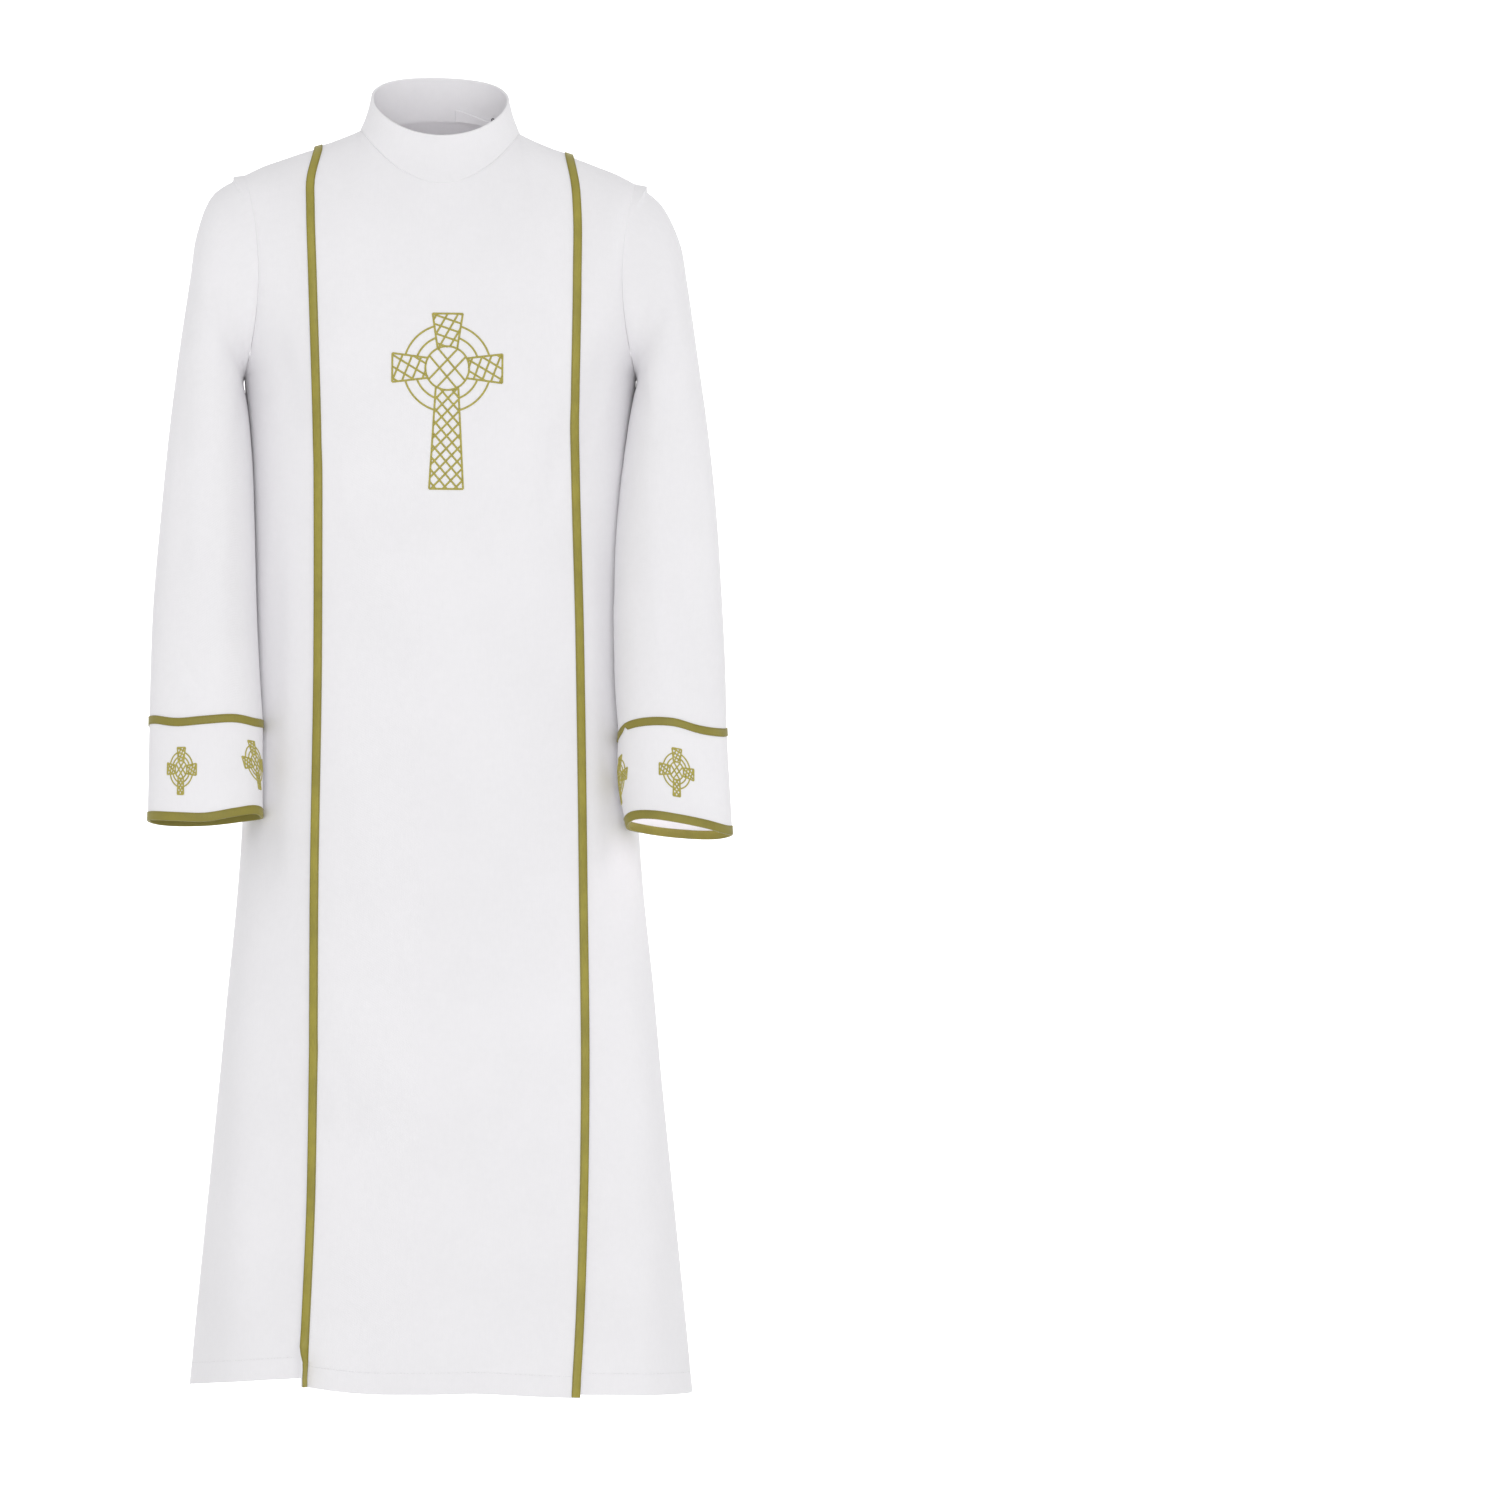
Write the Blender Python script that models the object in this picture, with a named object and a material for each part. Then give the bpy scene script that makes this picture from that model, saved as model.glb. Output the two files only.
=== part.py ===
"""A priest robe in white cloth with gold ribbon, hollow, in the form it has when it is worn.

Metres, +Z up. The front faces -Y and the wearer's left is +X. The origin is the middle of the
neck, at the height where the shoulder seams meet the collar.
"""

import math

import bpy
import numpy as np

FRONT, BACK = -1, 1
LEFT, RIGHT = 1, -1
HAND_NAMES = {LEFT: "left", RIGHT: "right"}

# Cloth: thicknesses of the walls, and the gap between pieces at a seam
CLOTH = 0.0018
COLLAR_CLOTH = 0.0030
UNDERLAP_CLOTH = 0.0015
RIBBON = 0.0009
RIBBON_WIDTH = 0.0090
SEAM = 0.0003

# Smallest distances that the geometry tells apart, and the step that slopes are measured over
TINY = 1e-6
STEP = 0.001
SHARP_ANGLE = math.radians(40)

# Grid: columns and rows of the panels
NECK_COLUMNS = 6
ARM_ROWS = 10
SKIRT_ROWS = 14
SIDE_COLUMNS = 11
RINGS_PER_STATION = 2
CUFF_RINGS = 3
COLLAR_RINGS = 3

# Body
SECTION_POWER = 2.3
NECK_HALF_WIDTH = 0.085
NECK_DEPTH = {FRONT: 0.080, BACK: 0.070}
NECK_HEIGHT = {FRONT: -0.057, BACK: 0.016}
NECK_CURVE = {FRONT: 1.85, BACK: 2.0}
SHOULDER_TIP = 0.210
UNDERARM_X = 0.2110
UNDERARM_Z = -0.265
BACK_PANEL_HALF = 0.118
SIDE_SEAM_HEM_X = 0.272
LEAN = 0.0045
LEAN_FADES = (-0.060, -0.250)

# Distance below the shoulder in which the cloth comes round to the flat of the chest or back
ROLL_AT_NECK = {FRONT: 0.41, BACK: 0.20}
ROLL_AT_ARM = {FRONT: 0.15, BACK: 0.13}

# Armhole, seen from the side
ARMHOLE_REACH = {FRONT: 0.078, BACK: 0.086}
ARMHOLE_BOW = {FRONT: 0.016, BACK: 0.010}

# Centre panels lie on the side panels and stand further off them towards the hem
PROUD_AT_TOP = CLOTH + SEAM
PROUD_AT_HEM = {FRONT: 0.0045, BACK: 0.0085}
CENTRE_DROP = {FRONT: 0.005, BACK: 0.020}

# Collar
RIM_HALF_WIDTH = 0.0745
RIM_DEPTH = 0.065
RIM_MIDDLE, RIM_TILT, RIM_SIDE_RISE = 0.029, 0.034, 0.009
COLLAR_HOLLOW = 0.0015
COLLAR_LEAN = 0.29
COLLAR_LIFT = 0.0008
UNDERLAP_FROM, UNDERLAP_TO = math.radians(-42), math.radians(80)
UNDERLAP_TOP = (0.90, 0.33)
UNDERLAP_BOTTOM = 0.06
UNDERLAP_COLUMNS = 10
UNDERLAP_ROWS = 2

# Sleeves
SLEEVE_CLEARANCE = 0.0025
BINDING_HEIGHT = 0.0115
CUFF_TILT = {LEFT: 0.20, RIGHT: 0.04}
TILT_FROM_STEP = 3
ARMHOLE_BLEND_STEPS = 3


class Table:
    """Rows of sizes under named columns, read along a smooth curve through the first column."""

    def __init__(self, names, *rows):
        values = np.array(sorted(rows), float)
        self.columns = dict(zip(names.split(), values.T))
        self.places = values[:, 0]

    def at(self, name, place):
        """The named size at a place in the first column, level past the table's ends."""
        sizes = self.columns[name]
        slopes = np.gradient(sizes, self.places)
        place = np.clip(place, self.places[0], self.places[-1])
        row = np.clip(np.searchsorted(self.places, place) - 1, 0, len(self.places) - 2)
        step = self.places[row + 1] - self.places[row]
        part = (place - self.places[row]) / step
        from_last = part * part * (3 - 2 * part)
        bend = slopes[row] * (part - 1) + slopes[row + 1] * part
        return sizes[row] + (sizes[row + 1] - sizes[row]) * from_last + (
            part * (part - 1) * step * bend
        )


BODY = Table(
    "z half_width front back",
    (0.060, 0.2220, 0.120, 0.126),
    (-0.120, 0.2220, 0.123, 0.130),
    (-0.180, 0.2195, 0.125, 0.131),
    (-0.235, 0.2135, 0.126, 0.131),
    (-0.265, 0.2110, 0.126, 0.131),
    (-0.320, 0.2080, 0.127, 0.130),
    (-0.400, 0.2065, 0.128, 0.130),
    (-0.500, 0.2070, 0.129, 0.131),
    (-0.650, 0.2100, 0.134, 0.136),
    (-0.761, 0.2149, 0.140, 0.145),
    (-0.934, 0.2300, 0.152, 0.160),
    (-1.107, 0.2473, 0.166, 0.176),
    (-1.280, 0.2646, 0.180, 0.191),
    (-1.400, 0.2760, 0.189, 0.201),
)

SHOULDER = Table(
    "x z",
    (0.000, 0.0430),
    (0.030, 0.0335),
    (0.060, 0.0165),
    (0.085, 0.0000),
    (0.100, -0.0068),
    (0.118, -0.014),
    (0.146, -0.023),
    (0.168, -0.031),
    (0.192, -0.040),
    (0.210, -0.049),
    (0.235, -0.060),
)

# Edge of the front panel, to the wearer's left and right, from the shoulder seam down
EDGE_TOP_Z = -0.020
FRONT_EDGE = Table(
    "z left right",
    (-0.022, 0.1425, 0.1349),
    (-0.057, 0.1490, 0.1430),
    (-0.083, 0.1505, 0.1429),
    (-0.157, 0.1500, 0.1404),
    (-0.308, 0.1471, 0.1354),
    (-0.545, 0.1518, 0.1342),
    (-0.805, 0.1548, 0.1378),
    (-1.020, 0.1565, 0.1390),
    (-1.150, 0.1545, 0.1413),
    (-1.280, 0.1500, 0.1470),
    (-1.358, 0.1454, 0.1507),
)

# Hem height across the robe
HEM = Table(
    "x front back",
    (-0.272, -1.3545, -1.3545),
    (-0.148, -1.3380, -1.3600),
    (0.000, -1.3410, -1.3620),
    (0.148, -1.3500, -1.3620),
    (0.272, -1.3595, -1.3595),
)

# Largest folds: side, x and z of the upper end, x and z of the lower end, width and lift
FOLDS = (
    (BACK, 0.034, -0.560, 0.036, -1.060, 0.020, -0.0060),
    (BACK, 0.168, -0.300, 0.172, -1.500, 0.024, 0.0080),
    (BACK, -0.168, -0.300, -0.172, -1.500, 0.024, 0.0075),
    (BACK, 0.146, -0.080, 0.168, -0.480, 0.014, -0.0040),
    (BACK, -0.146, -0.080, -0.168, -0.460, 0.014, -0.0040),
    (FRONT, 0.178, -0.380, 0.186, -0.900, 0.014, -0.0060),
    (FRONT, -0.176, -0.400, -0.184, -0.860, 0.013, -0.0050),
    (FRONT, 0.205, -0.780, 0.222, -1.500, 0.022, 0.0060),
    (FRONT, -0.205, -0.800, -0.222, -1.500, 0.022, 0.0060),
)

# Rings of a sleeve: outer and inner point as seen from the front, middle and half depth in Y
SLEEVE = Table(
    "step out_x out_z in_z left_in right_in left_y right_y half_depth",
    (0, 0.2103, -0.049, -0.2650, 0.2113, 0.2113, 0.004, 0.004, 0.0820),
    (1, 0.2420, -0.072, -0.2690, 0.2120, 0.2120, 0.001, 0.001, 0.0825),
    (2, 0.2600, -0.113, -0.2760, 0.2100, 0.2110, -0.006, -0.005, 0.0810),
    (3, 0.2690, -0.160, -0.2880, 0.2060, 0.2075, -0.016, -0.014, 0.0780),
    (4, 0.2810, -0.243, -0.3240, 0.1990, 0.2030, -0.030, -0.028, 0.0740),
    (5, 0.2925, -0.329, -0.3800, 0.1920, 0.2000, -0.044, -0.040, 0.0700),
    (6, 0.3005, -0.416, -0.4440, 0.1865, 0.1985, -0.055, -0.050, 0.0660),
    (7, 0.3070, -0.502, -0.5170, 0.1850, 0.1965, -0.064, -0.059, 0.0600),
    (8, 0.3105, -0.575, -0.5800, 0.1870, 0.1935, -0.072, -0.069, 0.0520),
    (9, 0.3125, -0.636, -0.6320, 0.1920, 0.1900, -0.080, -0.078, 0.0420),
)

CUFF_END = {
    LEFT: {"out": (0.3165, -0.748), "in": (0.1985, -0.734), "middle_y": -0.086, "tilt": 0.20},
    RIGHT: {"out": (0.3160, -0.741), "in": (0.1900, -0.737), "middle_y": -0.084, "tilt": -0.12},
}
CUFF_HALF_DEPTH = 0.039


def smooth_step(part):
    part = np.clip(part, 0, 1)
    return part * part * (3 - 2 * part)


def unit(vectors):
    return vectors / np.linalg.norm(vectors, axis=-1, keepdims=True)


def lean(points):
    """The wearer's right shoulder stands a little higher than the left."""
    top, low = LEAN_FADES
    fade = smooth_step((points[..., 2] - low) / (top - low))
    moved = points.copy()
    moved[..., 2] -= LEAN * points[..., 0] / SHOULDER_TIP * fade
    return moved


def grid_normals(points, closed):
    """Directions out of the cloth at each point of a grid whose rows run down and columns round."""
    down = np.gradient(points, axis=0)
    if closed:
        across = np.roll(points, -1, axis=1) - np.roll(points, 1, axis=1)
    else:
        across = np.gradient(points, axis=1)
    return unit(np.cross(across, down))


def material(name, colour, roughness):
    made = bpy.data.materials.get(name)
    if made is None:
        made = bpy.data.materials.new(name)
        made.use_nodes = True
        shader = made.node_tree.nodes["Principled BSDF"]
        shader.inputs["Base Color"].default_value = (*colour, 1.0)
        shader.inputs["Roughness"].default_value = roughness
        shader.inputs["Metallic"].default_value = 0.0
    return made


def cloth_material():
    return material("white_cloth", (0.86, 0.85, 0.87), 0.72)


def ribbon_material():
    return material("gold_ribbon", (0.36, 0.31, 0.09), 0.42)


def mesh_object(name, points, faces, finish):
    mesh = bpy.data.meshes.new(name)
    mesh.from_pydata(lean(points).tolist(), [], faces)
    mesh.validate()
    mesh.shade_smooth()
    mesh.set_sharp_from_angle(angle=SHARP_ANGLE)
    mesh.materials.append(finish)
    made = bpy.data.objects.new(name, mesh)
    bpy.context.scene.collection.objects.link(made)
    return made


def sheet_faces(rows, columns, closed):
    """Triangles of the two skins of a wall and of the strips that close its edges."""
    spans = columns if closed else columns - 1
    skin = rows * columns

    def corner(row, column):
        return row * columns + column % columns

    faces = []
    for row in range(rows - 1):
        for column in range(spans):
            a, b = corner(row, column), corner(row, column + 1)
            c, d = corner(row + 1, column + 1), corner(row + 1, column)
            faces += [(a, d, c), (a, c, b)]
            faces += [(skin + a, skin + c, skin + d), (skin + a, skin + b, skin + c)]
    edge_pairs = []
    for column in range(spans):
        edge_pairs.append((corner(0, column), corner(0, column + 1)))
        edge_pairs.append((corner(rows - 1, column + 1), corner(rows - 1, column)))
    if not closed:
        for row in range(rows - 1):
            edge_pairs.append((corner(row + 1, 0), corner(row, 0)))
            edge_pairs.append((corner(row, columns - 1), corner(row + 1, columns - 1)))
    for a, b in edge_pairs:
        faces += [(a, b, skin + b), (a, skin + b, skin + a)]
    return faces


def wall(name, outer, inward, thickness, finish, closed=False):
    """A closed cloth wall: the outer skin's grid, and the same grid moved inward."""
    rows, columns = outer.shape[:2]
    inner = outer + inward * thickness
    points = np.concatenate([outer.reshape(-1, 3), inner.reshape(-1, 3)])
    return mesh_object(name, points, sheet_faces(rows, columns, closed), finish)


def roll_over_shoulder(side, x, z):
    """0 on the shoulder line and 1 where the cloth has come round to the flat of the body."""
    outwards = np.minimum(x / SHOULDER_TIP, 1)
    reach = ROLL_AT_NECK[side] + (ROLL_AT_ARM[side] - ROLL_AT_NECK[side]) * outwards
    drop = np.clip((SHOULDER.at("z", x) - z) / reach, 0, 1)
    return np.sqrt(1 - (1 - drop) ** 2)


def body_depth(side, x, z):
    """Distance of the cloth from the shoulder plane at a distance x from the middle."""
    across = np.clip(x / BODY.at("half_width", z), 0, 1)
    depth = BODY.at("front" if side == FRONT else "back", z)
    flat = depth * (1 - across**SECTION_POWER) ** (1 / SECTION_POWER)
    return flat * roll_over_shoulder(side, x, z)


def angle_of(x, z):
    """Place round the section at a distance x from the middle: 0 at the side seam."""
    across = np.clip(x / BODY.at("half_width", z), 0, 1)
    return np.arccos(across ** (SECTION_POWER / 2))


def round_body(side, angle, z):
    """Point of the body's section, in a plane through the wearer's left half."""
    power = 2 / SECTION_POWER
    x = BODY.at("half_width", z) * np.cos(angle) ** power
    depth = BODY.at("front" if side == FRONT else "back", z)
    y = side * depth * np.sin(angle) ** power * roll_over_shoulder(side, x, z)
    return x, y


def fold_lift(side, x, z):
    """How far the folds lift the cloth off its smooth section."""
    lift = np.zeros_like(x)
    for fold_side, x_top, z_top, x_low, z_low, width, height in FOLDS:
        if fold_side != side:
            continue
        part = (z_top - z) / (z_top - z_low)
        middle = x_top + (x_low - x_top) * part
        ends = smooth_step(part * 4) * smooth_step((1 - part) * 4)
        lift += height * ends * np.exp(-(((x - middle) / width) ** 2))
    return lift


def with_folds(side, points):
    """The grid with its folds, moved level and square to the body's section."""
    x, y, z = points[..., 0], points[..., 1], points[..., 2]
    half_width = BODY.at("half_width", z)
    depth = BODY.at("front" if side == FRONT else "back", z)
    slope_x = np.sign(x) * np.abs(x) ** (SECTION_POWER - 1) / half_width**SECTION_POWER
    slope_y = side * np.abs(y) ** (SECTION_POWER - 1) / depth**SECTION_POWER
    out = unit(np.stack([slope_x, slope_y, np.zeros_like(z)], axis=-1) + TINY)
    return points + out * fold_lift(side, x, z)[..., None]


def hem_height(side, x):
    return HEM.at("front" if side == FRONT else "back", x)


def row_fractions():
    """Row places from a column's top to the underarm, close together over the shoulder."""
    turn = np.linspace(0, math.pi, ARM_ROWS + 1)
    return 0.4 * (1 - np.cos(turn)) / 2 + 0.6 * (1 - np.cos(turn / 2))


def column_heights(side, hand, top_z, hem_x):
    """Heights of a column's points from its top, past the underarm level, to the hem."""
    upper = top_z + (UNDERARM_Z - top_z) * row_fractions()
    hem = hem_height(side, hand * hem_x)
    lower = np.linspace(UNDERARM_Z, hem, SKIRT_ROWS + 1)[1:]
    return np.concatenate([upper, lower])


def panel_edge(side, hand, z):
    """Distance from the middle to the edge of the centre panel."""
    if side == BACK:
        return np.full_like(z, BACK_PANEL_HALF)
    return FRONT_EDGE.at(HAND_NAMES[hand], z)


def edge_column(side, hand, inset):
    """Column of points under the centre panel's edge, or a ribbon's width inside it."""
    top_x = panel_edge(side, hand, np.array(EDGE_TOP_Z)) - inset
    top_z = float(SHOULDER.at("z", top_x))
    hem_x = float(panel_edge(side, hand, np.array(hem_height(side, 0)))) - inset
    z = column_heights(side, hand, top_z, hem_x)
    x = panel_edge(side, hand, z) - inset
    x[0] = top_x
    y = side * body_depth(side, x, z)
    return np.stack([x, y, z], axis=-1)


def neck_point(side, part):
    """Point of the neckline: part 0 in the middle, 1 at the shoulder seam."""
    angle = math.pi / 2 * (1 - part)
    x = NECK_HALF_WIDTH * math.cos(angle)
    y = side * NECK_DEPTH[side] * math.sin(angle)
    z = NECK_HEIGHT[side] * math.sin(angle) ** NECK_CURVE[side]
    return x, y, z


def centre_half(side, hand):
    """Columns of half a centre panel, from the middle to its edge, for the wearer's left."""
    inner_edge = edge_column(side, hand, RIBBON_WIDTH)
    columns = []
    fade = (1 - np.arange(ARM_ROWS + SKIRT_ROWS + 1) / ARM_ROWS).clip(0, 1) ** 3
    blend = smooth_step(np.arange(ARM_ROWS + SKIRT_ROWS + 1) / ARM_ROWS)
    for column in range(NECK_COLUMNS + 1):
        top_x, top_y, top_z = neck_point(side, column / NECK_COLUMNS)
        share = column / (NECK_COLUMNS + 1)
        z = column_heights(side, hand, top_z, inner_edge[-1, 0] * share)
        low_x = panel_edge(side, hand, z) - RIBBON_WIDTH
        x = top_x + (low_x * share - top_x) * blend
        y = side * body_depth(side, x, z)
        y += (top_y - y[0]) * fade
        columns.append(np.stack([x, y, z], axis=-1))
    columns.append(inner_edge)
    columns.append(edge_column(side, hand, 0))
    return np.stack(columns, axis=1)


def proud(side, z):
    """How far the centre panel's outer skin stands off the side panels' outer skin."""
    part = smooth_step((UNDERARM_Z - z) / (UNDERARM_Z - hem_height(side, 0)))
    return PROUD_AT_TOP + (PROUD_AT_HEM[side] - PROUD_AT_TOP) * part


def shoulder_normals(x):
    """Directions square to the shoulder line, in the plane of its seam."""
    slope = (SHOULDER.at("z", np.abs(x) + STEP) - SHOULDER.at("z", np.abs(x) - STEP)) / (2 * STEP)
    return unit(np.stack([-slope * np.sign(x), np.zeros_like(x), np.ones_like(x)], axis=-1))


def collar_normals(points):
    """Directions out of the collar at points of the neckline."""
    round_neck = np.stack(
        [points[..., 0] / NECK_HALF_WIDTH**2, points[..., 1] / NECK_DEPTH[BACK] ** 2], axis=-1
    )
    level = unit(round_neck)
    return unit(np.concatenate([level, np.full((*level.shape[:-1], 1), COLLAR_LEAN)], axis=-1))


def centre_panel_grid(side):
    """Outer points and inward directions of the front or back centre panel."""
    left = centre_half(side, LEFT)
    right = centre_half(side, RIGHT)
    right[..., 0] *= -1
    base = np.concatenate([right[:, :0:-1], left], axis=1)
    base = with_folds(side, base)
    base[0, np.abs(base[0, :, 0]) > NECK_HALF_WIDTH - TINY, 1] = 0
    last = base[-1:].copy()
    last[..., 2] -= CENTRE_DROP[side]
    base = np.concatenate([base, last])
    normals = grid_normals(base, closed=False) * side
    on_neck = np.abs(base[0, :, 0]) < NECK_HALF_WIDTH + TINY
    normals[0, ~on_neck] = shoulder_normals(base[0, ~on_neck, 0])
    at_corner = np.isclose(np.abs(base[0, :, 0]), NECK_HALF_WIDTH)
    normals[0, at_corner] = shoulder_normals(base[0, at_corner, 0])
    outer = base + normals * proud(side, base[..., 2])[..., None]
    outer[0, np.abs(outer[0, :, 0]) > NECK_HALF_WIDTH - TINY, 1] += side * SEAM / 2
    inward = -normals
    inward[0, on_neck] = -unit(normals[0, on_neck] + collar_normals(base[0, on_neck]))
    inward[0, at_corner, 1] = 0
    inward[0] = unit(inward[0])
    return outer, inward


def build_centre_panel(side):
    outer, inward = centre_panel_grid(side)
    name = "front_panel" if side == FRONT else "back_panel"
    if side == BACK:
        outer, inward = outer[:, ::-1], inward[:, ::-1]
    wall(name, outer, inward, CLOTH, cloth_material())


def build_front_ribbon(hand):
    """Ribbon on the front panel's edge, from the shoulder seam to the hem."""
    outer, inward = centre_panel_grid(FRONT)
    strip = slice(-2, None) if hand == LEFT else slice(0, 2)
    under, lift = outer[:, strip], -inward[:, strip]
    ribbon = under + lift * (SEAM + RIBBON)
    wall(f"front_ribbon_{HAND_NAMES[hand]}", ribbon, -lift, RIBBON, ribbon_material())


def armhole_point(side, row):
    """Point of the armhole seam: row 0 at the shoulder, ARM_ROWS at the underarm."""
    angle = math.pi * row / ARM_ROWS
    tip_z = float(SHOULDER.at("z", SHOULDER_TIP))
    middle, half = (tip_z + UNDERARM_Z) / 2, (tip_z - UNDERARM_Z) / 2
    part = (1 - math.cos(angle)) / 2
    x = SHOULDER_TIP + (UNDERARM_X - SHOULDER_TIP) * part
    x -= ARMHOLE_BOW[side] * math.sin(angle) ** 2
    return np.array([x, side * ARMHOLE_REACH[side] * math.sin(angle), middle + half * math.cos(angle)])


def armhole_inward(side, row, outwards):
    """Direction of the cut edge at the armhole, bent off the seam at the underarm."""
    angle = math.pi * row / ARM_ROWS
    bend = ((1 - math.cos(angle)) / 2) ** 3
    return unit(np.array([outwards * bend, -side * math.sin(angle), -math.cos(angle)]))


def side_panel_grid(side, hand):
    """Outer points and inward directions of a side panel, for the wearer's left."""
    tuck = edge_column(side, hand, RIBBON_WIDTH)
    edge = edge_column(side, hand, 0)
    rows = ARM_ROWS + SKIRT_ROWS + 1
    shares = np.linspace(0, 1, SIDE_COLUMNS + 1)
    grid = np.empty((rows, SIDE_COLUMNS + 1, 3))
    side_hem = float(hem_height(side, hand * SIDE_SEAM_HEM_X))
    side_z = np.linspace(UNDERARM_Z, side_hem, SKIRT_ROWS + 1)
    top_z = edge[0, 2] + (float(SHOULDER.at("z", SHOULDER_TIP)) - edge[0, 2]) * shares
    for row in range(rows):
        start_x, start_z = edge[row, 0], edge[row, 2]
        start_angle = angle_of(start_x, start_z)
        if row <= ARM_ROWS:
            end = armhole_point(side, row)
            end_angle = angle_of(end[0], end[2]) if row < ARM_ROWS else 0.0
        else:
            end = np.array([0, 0, side_z[row - ARM_ROWS]])
            end_angle = 0.0
        angle = start_angle + (end_angle - start_angle) * shares
        z = start_z + (end[2] - start_z) * shares
        if row < ARM_ROWS:
            ridge_x, _ = round_body(side, angle, z)
            z = z + (SHOULDER.at("z", ridge_x) - top_z) * (1 - row / ARM_ROWS) ** 6
        x, y = round_body(side, angle, z)
        if row <= ARM_ROWS:
            x = x + (end[0] - x[-1]) * smooth_step(shares)
            y = y + (end[1] - y[-1]) * smooth_step(shares)
        grid[row] = np.stack([x, y, z], axis=-1)
    grid[0, :, 2] = SHOULDER.at("z", grid[0, :, 0])
    grid[:, 0] = edge
    grid = np.concatenate([tuck[:, None], grid], axis=1)
    grid[..., 0] *= hand
    grid[ARM_ROWS:, -1, 1] = 0
    inner = with_folds(side, grid)
    inner[: ARM_ROWS + 1, -1] = grid[: ARM_ROWS + 1, -1]
    inner[ARM_ROWS:, -1, 1] = 0
    inner[0, :, 1] = 0
    normals = grid_normals(inner, closed=False) * side * hand
    normals[0] = shoulder_normals(inner[0, :, 0])
    inward = -normals
    inward[ARM_ROWS:, -1] = (-hand, 0, 0)
    for row in range(ARM_ROWS + 1):
        cut = armhole_inward(side, row, -1)
        inward[row, -1] = cut * (hand, 1, 1)
    inner[0, :, 1] = side * SEAM / 2
    inner[ARM_ROWS:, -1, 1] = side * SEAM / 2
    return inner, inward


def build_side_panel(side, hand):
    outer, inward = side_panel_grid(side, hand)
    name = f"side_{'front' if side == FRONT else 'back'}_{HAND_NAMES[hand]}"
    if side * hand == 1:
        outer, inward = outer[:, ::-1], inward[:, ::-1]
    wall(name, outer, inward, CLOTH, cloth_material())


def ring_angles():
    """Places round a sleeve: 0 outermost, a quarter turn at the front, half a turn inside."""
    return np.linspace(0, 2 * math.pi, 2 * ARM_ROWS, endpoint=False)


def ring(out_point, in_point, middle_y, half_depth, tilt):
    """Oval ring between its outermost and innermost points, its front tilted up."""
    angles = ring_angles()
    out_x, out_z = out_point
    in_x, in_z = in_point
    x = (out_x + in_x) / 2 + (out_x - in_x) / 2 * np.cos(angles)
    z = (out_z + in_z) / 2 + (out_z - in_z) / 2 * np.cos(angles)
    forward = half_depth * np.sin(angles)
    return np.stack([x, middle_y - forward, z + tilt * forward], axis=-1)


def armhole_ring():
    """The armhole's points in the order of a sleeve's ring, for the wearer's left."""
    front = [armhole_point(FRONT, row) for row in range(ARM_ROWS + 1)]
    back = [armhole_point(BACK, row) for row in range(ARM_ROWS - 1, 0, -1)]
    return np.array(front + back) + (SEAM, 0, 0)


def clear_of_body(points, clearance):
    """Moves a sleeve's points out to where they just clear the body."""
    x, y, z = points[..., 0], points[..., 1], points[..., 2]
    depth = np.where(y < 0, BODY.at("front", z), BODY.at("back", z))
    within = np.clip(np.abs(y) / depth, 0, 1) ** SECTION_POWER
    body_x = BODY.at("half_width", z) * (1 - within) ** (1 / SECTION_POWER)
    moved = points.copy()
    moved[..., 0] = np.maximum(x, body_x + clearance)
    return moved


def sleeve_grid(hand):
    """Rings of a sleeve from the armhole to the cuff, for the wearer's left."""
    name = HAND_NAMES[hand]
    last = SLEEVE.places[-1]
    steps = np.linspace(0, last, int(last) * RINGS_PER_STATION + 1)
    start = armhole_ring()
    rings = []
    for step in steps:
        made = ring(
            (SLEEVE.at("out_x", step), SLEEVE.at("out_z", step)),
            (SLEEVE.at(f"{name}_in", step), SLEEVE.at("in_z", step)),
            SLEEVE.at(f"{name}_y", step),
            SLEEVE.at("half_depth", step),
            CUFF_TILT[hand] * smooth_step((step - TILT_FROM_STEP) / (last - TILT_FROM_STEP)),
        )
        if step == 0:
            from_ring = start - made
        made = made + from_ring * (1 - smooth_step(step / ARMHOLE_BLEND_STEPS))
        if step > 0:
            made = clear_of_body(made, SLEEVE_CLEARANCE * min(step, 1))
        rings.append(made)
    return np.array(rings)


def cuff_grid(hand):
    """Rings of a cuff, from the sleeve's last ring to its open end, for the wearer's left."""
    first = sleeve_grid(hand)[-1]
    end = CUFF_END[hand]
    last = ring(end["out"], end["in"], end["middle_y"], CUFF_HALF_DEPTH, end["tilt"])
    shares = np.linspace(0, 1, CUFF_RINGS + 1)[:, None, None]
    grid = first + (last - first) * shares
    along = unit(last - first)
    grid[0] += along * SEAM
    return grid


def ring_wall(name, grid, inward, thickness, finish, hand):
    """A closed tube wall from rings made for the wearer's left, mirrored for the right."""
    mirror = np.array([hand, 1, 1])
    outer, inward = grid * mirror, inward * mirror
    if hand == LEFT:
        outer, inward = outer[:, ::-1], inward[:, ::-1]
    wall(name, outer, inward, thickness, finish, closed=True)


def build_sleeve(hand):
    grid = sleeve_grid(hand)
    inward = -grid_normals(grid, closed=True)
    for column in range(2 * ARM_ROWS):
        side = FRONT if column <= ARM_ROWS else BACK
        row = column if column <= ARM_ROWS else 2 * ARM_ROWS - column
        inward[0, column] = armhole_inward(side, row, 1)
    ring_wall(f"sleeve_{HAND_NAMES[hand]}", grid, inward, CLOTH, cloth_material(), hand)


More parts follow.
